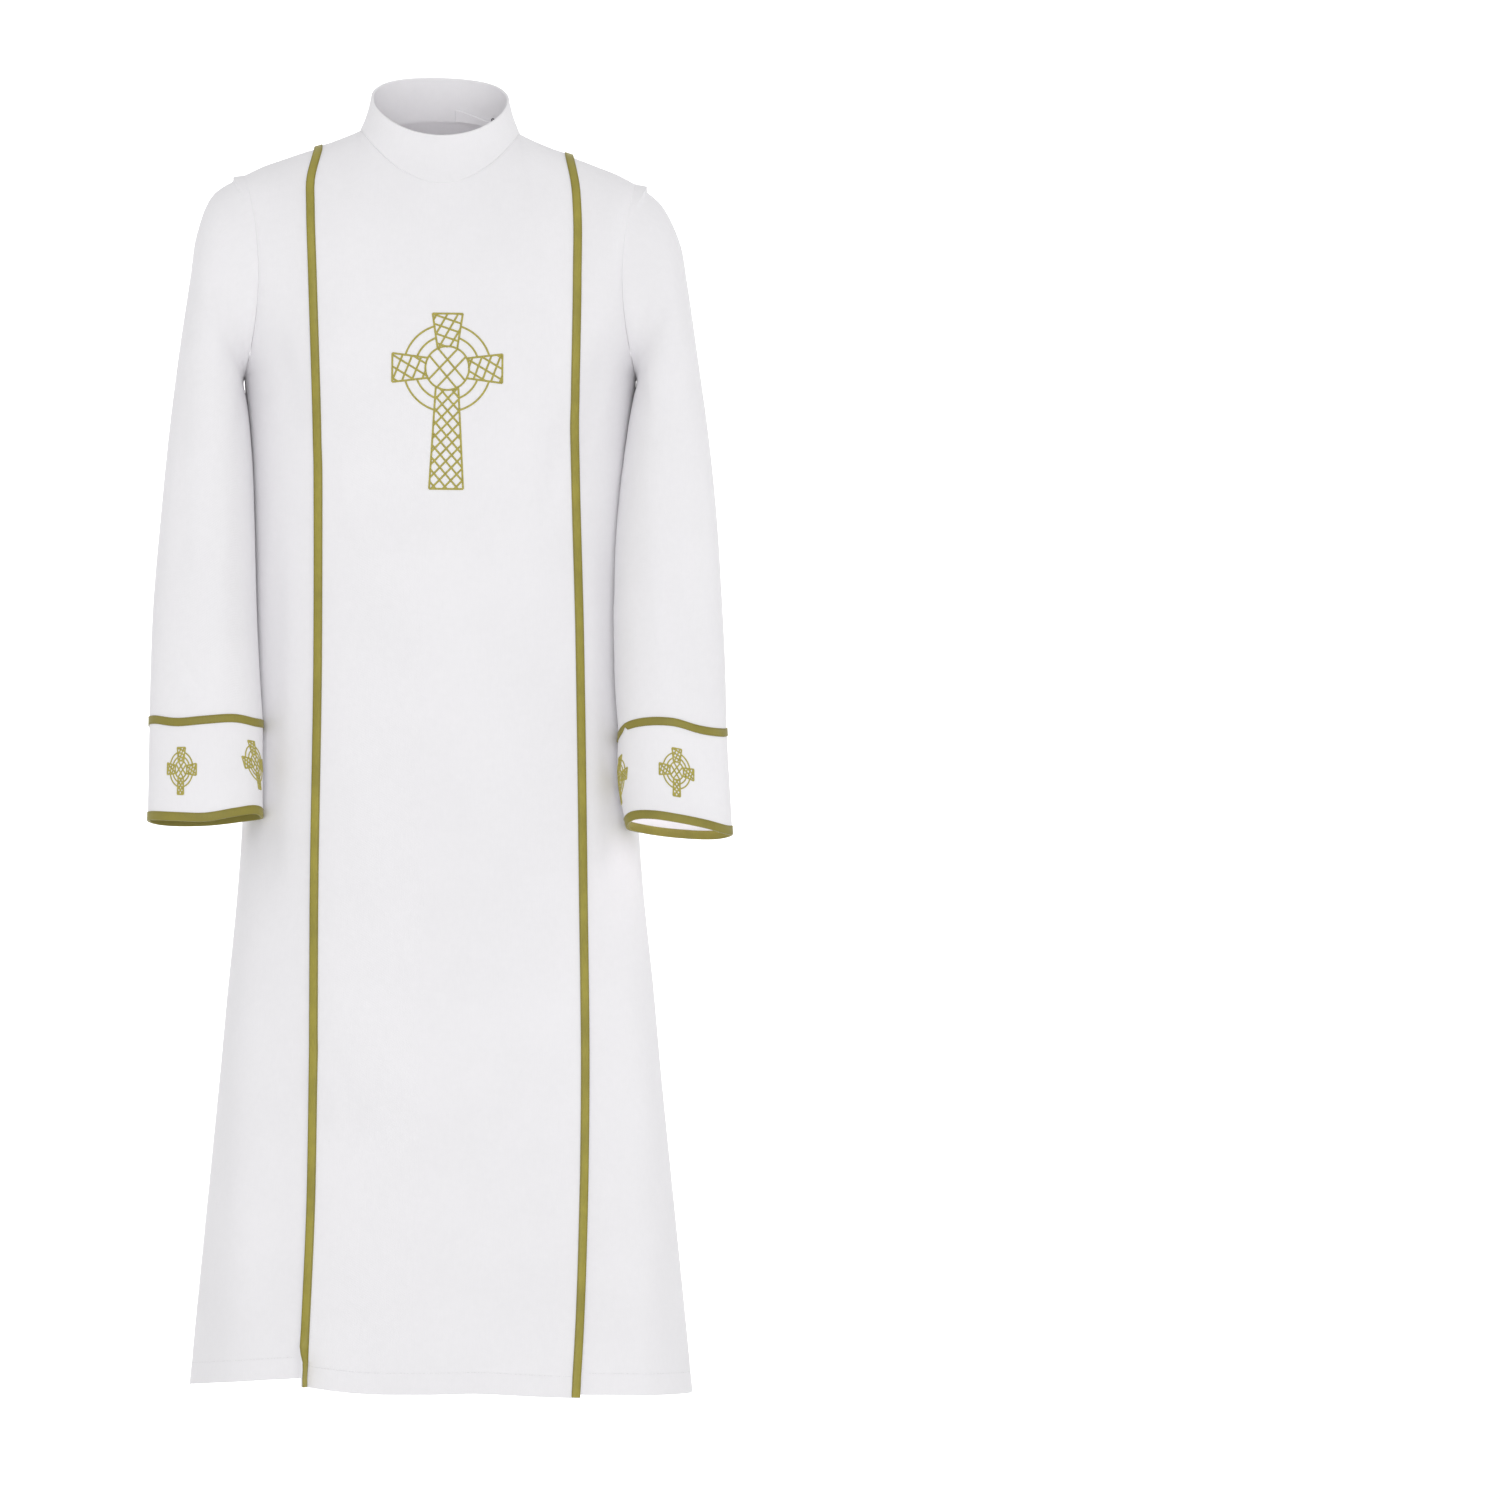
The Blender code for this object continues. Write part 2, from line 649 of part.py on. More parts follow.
def build_cuff(hand):
    grid = cuff_grid(hand)
    inward = -grid_normals(grid, closed=True)
    inward[0] = -grid_normals(sleeve_grid(hand), closed=True)[-1]
    ring_wall(f"cuff_{HAND_NAMES[hand]}", grid, inward, CLOTH, cloth_material(), hand)


def build_cuff_top_ribbon(hand):
    """Ribbon round the top of the cuff."""
    grid = cuff_grid(hand)
    inward = -grid_normals(grid, closed=True)
    inward[0] = -grid_normals(sleeve_grid(hand), closed=True)[-1]
    height = np.linalg.norm(grid[-1] - grid[0], axis=-1, keepdims=True)
    share = RIBBON_WIDTH / height
    low = grid[0] + (grid[-1] - grid[0]) * share
    low_inward = unit(inward[0] + (inward[-1] - inward[0]) * share)
    edges, directions = np.stack([grid[0], low]), np.stack([inward[0], low_inward])
    outer = edges - directions * (SEAM + RIBBON)
    name = f"cuff_top_ribbon_{HAND_NAMES[hand]}"
    ring_wall(name, outer, directions, RIBBON, ribbon_material(), hand)


def build_cuff_binding(hand):
    """Ribbon folded round the cuff's open edge, so that it shows outside and inside."""
    grid = cuff_grid(hand)
    inward = -grid_normals(grid, closed=True)[-1]
    along = unit(grid[-1] - grid[0])
    edge = grid[-1]
    near, far = -SEAM, CLOTH + SEAM
    section = (
        (near - RIBBON, -BINDING_HEIGHT),
        (near - RIBBON, SEAM + RIBBON),
        (far + RIBBON, SEAM + RIBBON),
        (far + RIBBON, -BINDING_HEIGHT),
        (far, -BINDING_HEIGHT),
        (far, SEAM),
        (near, SEAM),
        (near, -BINDING_HEIGHT),
    )
    loops = np.array([edge + inward * deep + along * down for deep, down in section])
    loops = loops * (hand, 1, 1)
    corners, columns = loops.shape[:2]
    faces = []
    for corner in range(corners):
        after = (corner + 1) % corners
        for column in range(columns):
            beside = (column + 1) % columns
            a, b = corner * columns + column, corner * columns + beside
            c, d = after * columns + beside, after * columns + column
            faces += [(a, b, c), (a, c, d)]
    if hand == RIGHT:
        faces = [face[::-1] for face in faces]
    name = f"cuff_binding_{HAND_NAMES[hand]}"
    mesh_object(name, loops.reshape(-1, 3), faces, ribbon_material())


def collar_rim(angle):
    """Point of the collar's upper edge: angle 0 at the wearer's left, a quarter turn behind."""
    x = RIM_HALF_WIDTH * np.cos(angle)
    y = RIM_DEPTH * np.sin(angle)
    z = RIM_MIDDLE + RIM_TILT * np.sin(angle) + RIM_SIDE_RISE * np.cos(angle) ** 2
    return np.stack([x, y, z], axis=-1)


def neckline():
    """The panels' neck edge as a loop, from the wearer's left round behind, and its cut."""
    loop, cut = [], []
    for side, order in ((BACK, -1), (FRONT, 1)):
        outer, inward = centre_panel_grid(side)
        middle = outer.shape[1] // 2
        row = slice(middle - NECK_COLUMNS, middle + NECK_COLUMNS + 1)
        points, directions = outer[0, row][::order], inward[0, row][::order]
        points[[0, -1], 1] = 0
        loop += list(points[:-1])
        cut += list(directions[:-1])
    return np.array(loop), np.array(cut)


def collar_grid():
    """Rings of the collar from its rim down to the neckline."""
    base, cut = neckline()
    angles = np.arctan2(base[:, 1] / RIM_DEPTH, base[:, 0] / RIM_HALF_WIDTH)
    rim = collar_rim(angles)
    up = unit(rim - base)
    base = base + up * COLLAR_LIFT
    shares = np.linspace(0, 1, COLLAR_RINGS + 1)[:, None, None]
    grid = rim + (base - rim) * shares
    out = unit(grid * (1, 1, 0))
    grid = grid - out * COLLAR_HOLLOW * np.sin(shares * math.pi)
    return grid, cut


def build_collar():
    grid, cut = collar_grid()
    inward = grid_normals(grid, closed=True)
    inward[-1] = cut
    wall("collar", grid, inward, COLLAR_CLOTH, cloth_material(), closed=True)


def build_collar_underlap():
    """End of the collar band that passes inside the other at the wearer's left."""
    angles = np.linspace(UNDERLAP_FROM, UNDERLAP_TO, UNDERLAP_COLUMNS + 1)
    grid, _ = collar_grid()
    inward = grid_normals(grid, closed=True)
    grid = grid + inward * (COLLAR_CLOTH + 2 * SEAM)
    round_neck = np.arctan2(grid[0, :, 1] / RIM_DEPTH, grid[0, :, 0] / RIM_HALF_WIDTH)
    order = np.argsort(round_neck)
    places = round_neck[order]

    def inside(angle, down):
        """Point inside the collar, a share of its height down from the rim."""
        ring_at = down * COLLAR_RINGS
        upper = min(int(ring_at), COLLAR_RINGS - 1)
        part = ring_at - upper
        pair = [
            np.array([np.interp(angle, places, grid[row, order, axis]) for axis in range(3)])
            for row in (upper, upper + 1)
        ]
        return pair[0] + (pair[1] - pair[0]) * part

    rows = []
    for level in np.linspace(0, 1, UNDERLAP_ROWS + 1):
        row = []
        for angle in angles:
            share = (angle - UNDERLAP_FROM) / (UNDERLAP_TO - UNDERLAP_FROM)
            top = 1 - (UNDERLAP_TOP[0] + (UNDERLAP_TOP[1] - UNDERLAP_TOP[0]) * share)
            down = top + (1 - UNDERLAP_BOTTOM - top) * level
            row.append(inside(angle, down))
        rows.append(row)
    strip = np.array(rows)
    strip_inward = grid_normals(strip, closed=False)
    wall("collar_underlap", strip, strip_inward, UNDERLAP_CLOTH, cloth_material())


def clear_scene():
    for old in list(bpy.data.objects):
        bpy.data.objects.remove(old)


def main():
    clear_scene()
    build_centre_panel(FRONT)
    build_centre_panel(BACK)
    build_collar()
    build_collar_underlap()
    for hand in (LEFT, RIGHT):
        build_side_panel(FRONT, hand)
        build_side_panel(BACK, hand)
        build_front_ribbon(hand)
        build_sleeve(hand)
        build_cuff(hand)
        build_cuff_top_ribbon(hand)
        build_cuff_binding(hand)


main()
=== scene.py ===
"""The looks of a white priest robe: its cloth, gold ribbons, embroidered crosses and sewing.

Metres, +Z up. The front faces -Y and the wearer's left is +X. The origin is the middle of the
neck, at the height where the shoulder seams meet the collar.
"""

import math

import bpy
import numpy as np
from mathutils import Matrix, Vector
from mathutils.bvhtree import BVHTree


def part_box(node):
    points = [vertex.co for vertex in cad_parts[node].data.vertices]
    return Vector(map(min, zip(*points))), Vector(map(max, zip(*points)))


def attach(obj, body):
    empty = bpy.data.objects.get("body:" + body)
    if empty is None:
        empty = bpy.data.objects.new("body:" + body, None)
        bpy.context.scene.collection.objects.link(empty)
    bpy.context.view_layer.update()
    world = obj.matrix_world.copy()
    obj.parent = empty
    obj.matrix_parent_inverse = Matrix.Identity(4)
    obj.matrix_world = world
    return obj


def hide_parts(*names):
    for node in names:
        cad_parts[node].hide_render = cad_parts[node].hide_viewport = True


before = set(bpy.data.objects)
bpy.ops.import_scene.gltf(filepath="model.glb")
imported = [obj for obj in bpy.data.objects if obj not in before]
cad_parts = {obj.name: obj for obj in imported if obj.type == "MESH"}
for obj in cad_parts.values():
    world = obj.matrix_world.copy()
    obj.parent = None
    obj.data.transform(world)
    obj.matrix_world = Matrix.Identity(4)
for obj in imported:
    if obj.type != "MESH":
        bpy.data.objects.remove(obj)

bl_info = {
    "name": "Priest robe",
    "version": (1, 0, 0),
    "blender": (4, 5, 0),
    "location": "3D View > Sidebar > Robe",
    "description": "Cloth, ribbons, embroidery and sewing of a white priest robe, with a plain studio",
    "category": "Add Mesh",
}

BODY_NAME = "root"
FRONT, BACK = -1, 1
LEFT, RIGHT = 1, -1
SIDE_NAMES = {FRONT: "front", BACK: "back"}
HAND_NAMES = {LEFT: "left", RIGHT: "right"}

# Cloth: thicknesses, and the gap between pieces at a seam
CLOTH = 0.0018
COLLAR_CLOTH = 0.0030
UNDERLAP_CLOTH = 0.0015
RIBBON = 0.0009
BINDING = 0.0005
RIBBON_WIDTH = 0.0090
SEAM = 0.0003
TINY = 1e-6
STEP = 0.001
SHARP_ANGLE = math.radians(40)
EDGE_ROUNDING = 0.45

# Grid: columns and rows of the pieces
NECK_COLUMNS = 30
SHOULDER_COLUMNS = 5
ARM_ROWS = 32
SKIRT_ROWS = 130
SIDE_COLUMNS = 34
RINGS_PER_STATION = 10
CUFF_RINGS = 20
COLLAR_RINGS = 14

# Body
SECTION_POWER = 2.3
NECK_HALF_WIDTH = 0.085
NECK_DEPTH = {FRONT: 0.080, BACK: 0.070}
NECK_HEIGHT = {FRONT: -0.057, BACK: 0.016}
NECK_CURVE = {FRONT: 1.85, BACK: 2.0}
SHOULDER_TIP = 0.210
UNDERARM_X = 0.2110
UNDERARM_Z = -0.265
BACK_PANEL_HALF = 0.118
SIDE_SEAM_HEM_X = 0.272
LEAN = 0.0045
LEAN_FADES = (-0.060, -0.250)
ROLL_AT_NECK = {FRONT: 0.41, BACK: 0.20}
ROLL_AT_ARM = {FRONT: 0.15, BACK: 0.13}
ARMHOLE_REACH = {FRONT: 0.078, BACK: 0.086}
ARMHOLE_BOW = {FRONT: 0.016, BACK: 0.010}

# Centre panels lie on the side panels and stand further off them towards the hem
PROUD_AT_TOP = CLOTH + SEAM
PROUD_AT_HEM = {FRONT: 0.0045, BACK: 0.0085}

# Collar
RIM_HALF_WIDTH = 0.0745
RIM_DEPTH = 0.065
RIM_MIDDLE, RIM_TILT, RIM_SIDE_RISE = 0.029, 0.034, 0.009
COLLAR_HOLLOW = 0.0015
COLLAR_LEAN = 0.29
COLLAR_LIFT = 0.0008
UNDERLAP_FROM, UNDERLAP_TO = math.radians(-42), math.radians(77)
UNDERLAP_BOTTOM = 0.06
UNDERLAP_COLUMNS = 40
UNDERLAP_ROWS = 12

# Sleeves and cuffs
SLEEVE_CLEARANCE = 0.0012
BINDING_HEIGHT = 0.0088
CUFF_TILT = {LEFT: 0.20, RIGHT: 0.24}
TILT_FROM_STEP = 3
ARMHOLE_BLEND_STEPS = 3
CUFF_HALF_DEPTH = 0.039

# Hem: height of its sewing above the edge, and how much thicker the turned-up cloth is
HEM_HEIGHT = 0.022
HEM_THICKER = 0.0006
HEM_GROOVE = 0.0007
HEM_GROOVE_WIDTH = 0.0035

# Front panel's edge at the wearer's right: how far its columns curl forward, each one's share of
# that turn, and the heights above the hem where the curl is full and where it ends
CURL = 1.35
CURL_SHARES = (1.0, 1.0, 0.5)
CURL_FADES = (0.018, 0.055)

# Share of a side panel's width over which its folds die away to its outer seams
SEAM_FADE = 0.18


class Table:
    """Rows of sizes under named columns, read along a smooth curve through the first column."""

    def __init__(self, names, *rows):
        values = np.array(sorted(rows), float)
        self.columns = dict(zip(names.split(), values.T))
        self.places = values[:, 0]

    def at(self, name, place):
        """The named size at a place in the first column, level past the table's ends."""
        sizes = self.columns[name]
        slopes = np.gradient(sizes, self.places)
        place = np.clip(place, self.places[0], self.places[-1])
        row = np.clip(np.searchsorted(self.places, place) - 1, 0, len(self.places) - 2)
        step = self.places[row + 1] - self.places[row]
        part = (place - self.places[row]) / step
        from_last = part * part * (3 - 2 * part)
        bend = slopes[row] * (part - 1) + slopes[row + 1] * part
        return sizes[row] + (sizes[row + 1] - sizes[row]) * from_last + (
            part * (part - 1) * step * bend
        )


BODY = Table(
    "z half_width front back",
    (0.060, 0.2220, 0.120, 0.126),
    (-0.120, 0.2220, 0.123, 0.130),
    (-0.180, 0.2195, 0.125, 0.131),
    (-0.235, 0.2135, 0.126, 0.131),
    (-0.265, 0.2110, 0.126, 0.131),
    (-0.320, 0.2080, 0.127, 0.130),
    (-0.400, 0.2065, 0.128, 0.130),
    (-0.500, 0.2070, 0.129, 0.131),
    (-0.650, 0.2100, 0.134, 0.136),
    (-0.761, 0.2149, 0.140, 0.145),
    (-0.934, 0.2300, 0.152, 0.160),
    (-1.107, 0.2473, 0.166, 0.176),
    (-1.280, 0.2646, 0.180, 0.191),
    (-1.400, 0.2760, 0.189, 0.201),
)

SHOULDER = Table(
    "x z",
    (0.000, 0.0430),
    (0.030, 0.0335),
    (0.060, 0.0165),
    (0.085, 0.0000),
    (0.100, -0.0068),
    (0.118, -0.014),
    (0.146, -0.023),
    (0.168, -0.031),
    (0.192, -0.040),
    (0.210, -0.049),
    (0.235, -0.060),
)

# Edge of the front panel, to the wearer's left and right, from the shoulder seam down
EDGE_TOP_Z = -0.020
FRONT_EDGE = Table(
    "z left right",
    (-0.022, 0.1425, 0.1349),
    (-0.057, 0.1490, 0.1430),
    (-0.083, 0.1505, 0.1429),
    (-0.157, 0.1500, 0.1404),
    (-0.308, 0.1471, 0.1354),
    (-0.545, 0.1518, 0.1342),
    (-0.805, 0.1548, 0.1378),
    (-1.020, 0.1565, 0.1390),
    (-1.150, 0.1545, 0.1413),
    (-1.280, 0.1500, 0.1470),
    (-1.358, 0.1454, 0.1507),
)

# Hems of the side panels and of the centre panels
HEM = Table(
    "x front back front_centre back_centre",
    (-0.272, -1.3465, -1.3475, -1.3355, -1.3710),
    (-0.230, -1.3435, -1.3505, -1.3355, -1.3710),
    (-0.200, -1.3385, -1.3535, -1.3355, -1.3710),
    (-0.147, -1.3275, -1.3540, -1.3360, -1.3710),
    (-0.113, -1.3300, -1.3545, -1.3402, -1.3715),
    (-0.088, -1.3320, -1.3545, -1.3422, -1.3720),
    (-0.017, -1.3370, -1.3550, -1.3433, -1.3720),
    (0.040, -1.3390, -1.3550, -1.3426, -1.3725),
    (0.090, -1.3420, -1.3570, -1.3457, -1.3725),
    (0.147, -1.3459, -1.3590, -1.3490, -1.3730),
    (0.272, -1.3564, -1.3570, -1.3490, -1.3730),
)

# Folds and creases: side, x and z of the upper end, x and z of the lower end, width and lift
FOLDS = (
    (BACK, 0.034, -0.560, 0.036, -1.060, 0.020, -0.0060),
    (BACK, 0.166, -0.300, 0.172, -1.500, 0.022, 0.0105),
    (BACK, -0.166, -0.300, -0.172, -1.500, 0.022, 0.0100),
    (BACK, 0.143, -0.070, 0.170, -0.480, 0.017, -0.0060),
    (BACK, -0.143, -0.070, -0.170, -0.460, 0.017, -0.0060),
    (FRONT, 0.178, -0.380, 0.186, -0.900, 0.014, -0.0035),
    (FRONT, -0.176, -0.400, -0.184, -0.860, 0.013, -0.0030),
    (FRONT, 0.205, -0.780, 0.222, -1.500, 0.022, 0.0060),
    (FRONT, -0.205, -0.800, -0.222, -1.500, 0.022, 0.0060),
)
CREASES = (
    (FRONT, 0.138, -0.285, 0.104, -0.440, 0.010, -0.0018),
    (FRONT, 0.122, -0.270, 0.078, -0.400, 0.013, 0.0012),
    (FRONT, -0.126, -0.330, -0.098, -0.470, 0.012, -0.0012),
    (FRONT, 0.064, -0.985, 0.134, -1.130, 0.013, 0.0022),
    (FRONT, 0.046, -1.030, 0.110, -1.180, 0.015, -0.0016),
    (FRONT, -0.124, -0.960, -0.080, -1.080, 0.012, -0.0018),
    (FRONT, -0.062, -0.620, -0.074, -1.420, 0.034, 0.0026),
    (FRONT, 0.052, -0.560, 0.066, -1.400, 0.030, -0.0024),
    (FRONT, 0.006, -0.860, -0.004, -1.440, 0.022, 0.0018),
    (FRONT, 0.180, -0.210, 0.150, -0.360, 0.011, -0.0016),
    (FRONT, -0.178, -0.200, -0.150, -0.330, 0.012, -0.0018),
    (FRONT, 0.172, -0.950, 0.182, -1.480, 0.016, -0.0026),
    (FRONT, -0.170, -1.000, -0.178, -1.480, 0.017, -0.0024),
    (BACK, -0.046, -0.640, -0.052, -1.260, 0.026, -0.0026),
    (BACK, 0.084, -0.760, 0.090, -1.420, 0.022, 0.0022),
    (BACK, -0.088, -0.500, -0.092, -1.060, 0.019, -0.0018),
    (BACK, 0.020, -0.150, 0.058, -0.330, 0.020, 0.0014),
    (BACK, -0.074, -0.140, -0.030, -0.300, 0.018, -0.0014),
    (BACK, 0.205, -0.520, 0.222, -1.480, 0.018, -0.0034),
    (BACK, -0.205, -0.560, -0.222, -1.480, 0.018, -0.0032),
    (BACK, 0.192, -0.240, 0.172, -0.330, 0.011, 0.0018),
    (BACK, -0.192, -0.240, -0.172, -0.345, 0.011, 0.0020),
)

# Upper edge of the collar's underlap, as a share of the collar's height, round the neck
UNDERLAP_TOP = Table(
    "angle share",
    (math.radians(-42), 0.90),
    (math.radians(0), 0.75),
    (math.radians(25), 0.40),
    (math.radians(42), 0.18),
    (math.radians(60), 0.23),
    (math.radians(80), 0.34),
)

# Rings of a sleeve: outer and inner point as seen from the front, middle and half depth in Y
SLEEVE = Table(
    "step left_out right_out out_z in_z left_in right_in left_y right_y half_depth",
    (0, 0.2103, 0.2103, -0.049, -0.2650, 0.2113, 0.2113, 0.004, 0.004, 0.0820),
    (1, 0.2390, 0.2450, -0.072, -0.2690, 0.2120, 0.2120, 0.001, 0.001, 0.0825),
    (2, 0.2583, 0.2619, -0.113, -0.2760, 0.2100, 0.2110, -0.006, -0.005, 0.0810),
    (3, 0.2662, 0.2691, -0.160, -0.2880, 0.2060, 0.2075, -0.016, -0.014, 0.0780),
    (4, 0.2773, 0.2814, -0.243, -0.3240, 0.1990, 0.2030, -0.030, -0.028, 0.0740),
    (5, 0.2886, 0.2917, -0.329, -0.3800, 0.1920, 0.2000, -0.044, -0.040, 0.0700),
    (6, 0.2969, 0.3000, -0.416, -0.4440, 0.1865, 0.1985, -0.055, -0.050, 0.0660),
    (7, 0.3020, 0.3073, -0.502, -0.5170, 0.1850, 0.1965, -0.064, -0.059, 0.0600),
    (8, 0.3054, 0.3100, -0.575, -0.5800, 0.1865, 0.1935, -0.072, -0.069, 0.0520),
    (9, 0.3062, 0.3111, -0.636, -0.6320, 0.1905, 0.1900, -0.080, -0.078, 0.0420),
)

# Open end of a cuff: outer and inner point as seen from the front, middle in Y and tilt
CUFF_END = {
    LEFT: {"out": (0.3125, -0.751), "in": (0.1985, -0.7427), "middle_y": -0.086, "tilt": 0.23},
    RIGHT: {"out": (0.3130, -0.7372), "in": (0.1900, -0.7352), "middle_y": -0.084, "tilt": 0.093},
}
# How far the inner side of a cuff bulges towards the body, halfway down
CUFF_BULGE = {LEFT: 0.0045, RIGHT: 0.0}

# Creases of a sleeve: hand, angle and step of one end, angle and step of the other, width and
# lift. Angle 0 is outermost, a quarter turn is the front, half a turn is inside.
SLEEVE_CREASES = (
    (LEFT, 1.9, 0.6, 1.2, 3.4, 0.26, -0.0028),
    (LEFT, 2.3, 1.6, 1.7, 4.6, 0.22, 0.0022),
    (LEFT, 0.7, 4.8, 1.3, 8.6, 0.24, -0.0022),
    (LEFT, 1.9, 5.2, 1.6, 9.6, 0.20, 0.0020),
    (LEFT, 4.2, 1.0, 4.9, 4.4, 0.24, -0.0030),
    (LEFT, 5.0, 4.4, 4.3, 8.6, 0.26, 0.0028),
    (LEFT, 4.0, 5.6, 4.9, 6.6, 0.16, -0.0026),
    (LEFT, 4.1, 7.8, 4.1, 9.8, 0.14, -0.0024),
    (LEFT, 4.6, 7.9, 4.6, 9.8, 0.13, -0.0026),
    (LEFT, 5.1, 8.0, 5.1, 9.8, 0.13, -0.0022),
    (RIGHT, 1.8, 0.5, 1.1, 3.0, 0.26, -0.0028),
    (RIGHT, 2.4, 1.8, 1.8, 5.0, 0.22, 0.0022),
    (RIGHT, 0.9, 7.6, 1.7, 8.7, 0.11, -0.0022),
    (RIGHT, 1.0, 8.1, 1.6, 9.0, 0.09, 0.0016),
    (RIGHT, 0.8, 3.6, 1.2, 8.0, 0.26, -0.0020),
    (RIGHT, 2.0, 4.6, 1.8, 9.4, 0.22, 0.0018),
    (RIGHT, 4.2, 1.2, 4.9, 4.0, 0.24, -0.0030),
    (RIGHT, 4.9, 4.0, 4.2, 8.2, 0.26, 0.0028),
    (RIGHT, 4.1, 5.9, 5.0, 6.7, 0.16, -0.0024),
    (RIGHT, 4.2, 7.8, 4.2, 9.8, 0.14, -0.0026),
    (RIGHT, 4.7, 7.9, 4.7, 9.8, 0.13, -0.0024),
    (RIGHT, 5.2, 8.1, 5.2, 9.8, 0.12, -0.0020),
)

# Height of the sleeve's lower edge and the cuff's two edges, above their plain rings
CUFF_WAVES = Table(
    "angle left_top left_end right_top right_end",
    (0.00, -0.0025, -0.0010, 0.0095, 0.0000),
    (0.45, -0.0070, -0.0050, 0.0065, -0.0004),
    (1.10, -0.0078, -0.0038, -0.0014, -0.0032),
    (1.57, -0.0020, -0.0013, -0.0009, -0.0046),
    (2.10, -0.0013, 0.0020, 0.0011, 0.0003),
    (2.60, -0.0045, 0.0025, -0.0006, 0.0039),
    (3.14, -0.0130, -0.0015, 0.0013, 0.0010),
    (4.00, -0.0040, -0.0012, -0.0015, -0.0009),
    (4.71, 0.0015, -0.0014, -0.0004, -0.0040),
    (5.50, 0.0010, -0.0021, 0.0030, -0.0038),
    (6.2832, -0.0025, -0.0010, 0.0095, 0.0000),
)


def smooth_step(part):
    """0 up to part 0 and 1 from part 1 on, with a smooth rise between."""
    part = np.clip(part, 0, 1)
    return part * part * (3 - 2 * part)


def unit(vectors):
    """The vectors' directions, each of length 1."""
    return vectors / np.linalg.norm(vectors, axis=-1, keepdims=True)


def lean(points):
    """The wearer's right shoulder stands a little higher than the left."""
    top, low = LEAN_FADES
    fade = smooth_step((points[..., 2] - low) / (top - low))
    moved = points.copy()
    moved[..., 2] -= LEAN * points[..., 0] / SHOULDER_TIP * fade
    return moved


def grid_normals(points, closed):
    """Directions out of the cloth at each point of a grid whose rows run down and columns round."""
    down = np.gradient(points, axis=0)
    if closed:
        across = np.roll(points, -1, axis=1) - np.roll(points, 1, axis=1)
    else:
        across = np.gradient(points, axis=1)
    return unit(np.cross(across, down))


class Sheet:
    """A grid of cloth points with the directions into the cloth at each."""

    def __init__(self, outer, inward, closed=False, leaning=False):
        """The points lean with the robe, unless they already do."""
        self.outer = outer if leaning else lean(outer)
        self.inward = inward
        self.closed = closed
        self.rows, self.columns = outer.shape[:2]

    def at(self, row, column):
        """Points and outward directions at places in the grid, given as fractions of rows and columns."""
        row = np.clip(row, 0, self.rows - 1 - TINY)
        last = self.columns if self.closed else self.columns - 1
        column = np.mod(column, last) if self.closed else np.clip(column, 0, last - TINY)
        r0 = row.astype(int)
        c0 = column.astype(int)
        c1 = (c0 + 1) % self.columns
        dr = (row - r0)[..., None]
        dc = (column - c0)[..., None]
        found = []
        for grid in (self.outer, -self.inward):
            top = grid[r0, c0] * (1 - dc) + grid[r0, c1] * dc
            low = grid[r0 + 1, c0] * (1 - dc) + grid[r0 + 1, c1] * dc
            found.append(top * (1 - dr) + low * dr)
        return found[0], unit(found[1])

    def heights(self):
        """Straight length of each column, from its first point to its last."""
        return np.linalg.norm(self.outer[-1] - self.outer[0], axis=1)

    def row_above(self, height):
        """Fractional row of each column of a plain tube that lies a height above its last row."""
        return (self.rows - 1) * (1 - height / self.heights())

    def places(self):
        """Distances across and down the cloth at each point, with one more column on a tube."""
        points = self.outer
        if self.closed:
            points = np.concatenate([points, points[:, :1]], axis=1)
        steps = np.linalg.norm(np.diff(points, axis=1), axis=-1)
        if self.closed:
            steps = np.broadcast_to(steps.mean(), steps.shape)
        across = np.concatenate([np.zeros((self.rows, 1)), np.cumsum(steps, axis=1)], axis=1)
        middle = 0 if self.closed else points.shape[1] // 2
        across = across - across[:, middle : middle + 1]
        falls = np.linalg.norm(np.diff(points, axis=0), axis=-1)
        down = np.concatenate([np.zeros((1, points.shape[1])), np.cumsum(falls, axis=0)])
        return np.stack([across, down], axis=-1)


def edge_loops(rows, columns, closed):
    """Loops of grid places round a sheet's edges, each place with its neighbour inside."""
    if closed:
        top = [(0, c, 1, c) for c in range(columns)]
        low = [(rows - 1, c, rows - 2, c) for c in range(columns)]
        return [top, low[::-1]]
    last_row, last = rows - 1, columns - 1
    loop = [(0, c, 1, c) for c in range(last)]
    loop += [(r, last, r, last - 1) for r in range(last_row)]
    loop += [(last_row, c, last_row - 1, c) for c in range(last, 0, -1)]
    loop += [(r, 0, r, 1) for r in range(last_row, 0, -1)]
    return [loop]


def add_object(name, points, faces, finish, uvs=None):
    """A mesh object from points and faces, with a place on the cloth for each corner."""
    mesh = bpy.data.meshes.new(name)
    mesh.from_pydata(points.tolist(), [], faces)
    if uvs is not None:
        layer = mesh.uv_layers.new(name="cloth")
        layer.uv.foreach_set("vector", np.asarray(uvs, np.float32).ravel())
    mesh.shade_smooth()
    mesh.set_sharp_from_angle(angle=SHARP_ANGLE)
    mesh.materials.append(finish)
    made = bpy.data.objects.new(name, mesh)
    bpy.context.scene.collection.objects.link(made)
    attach(made, BODY_NAME)
    return made


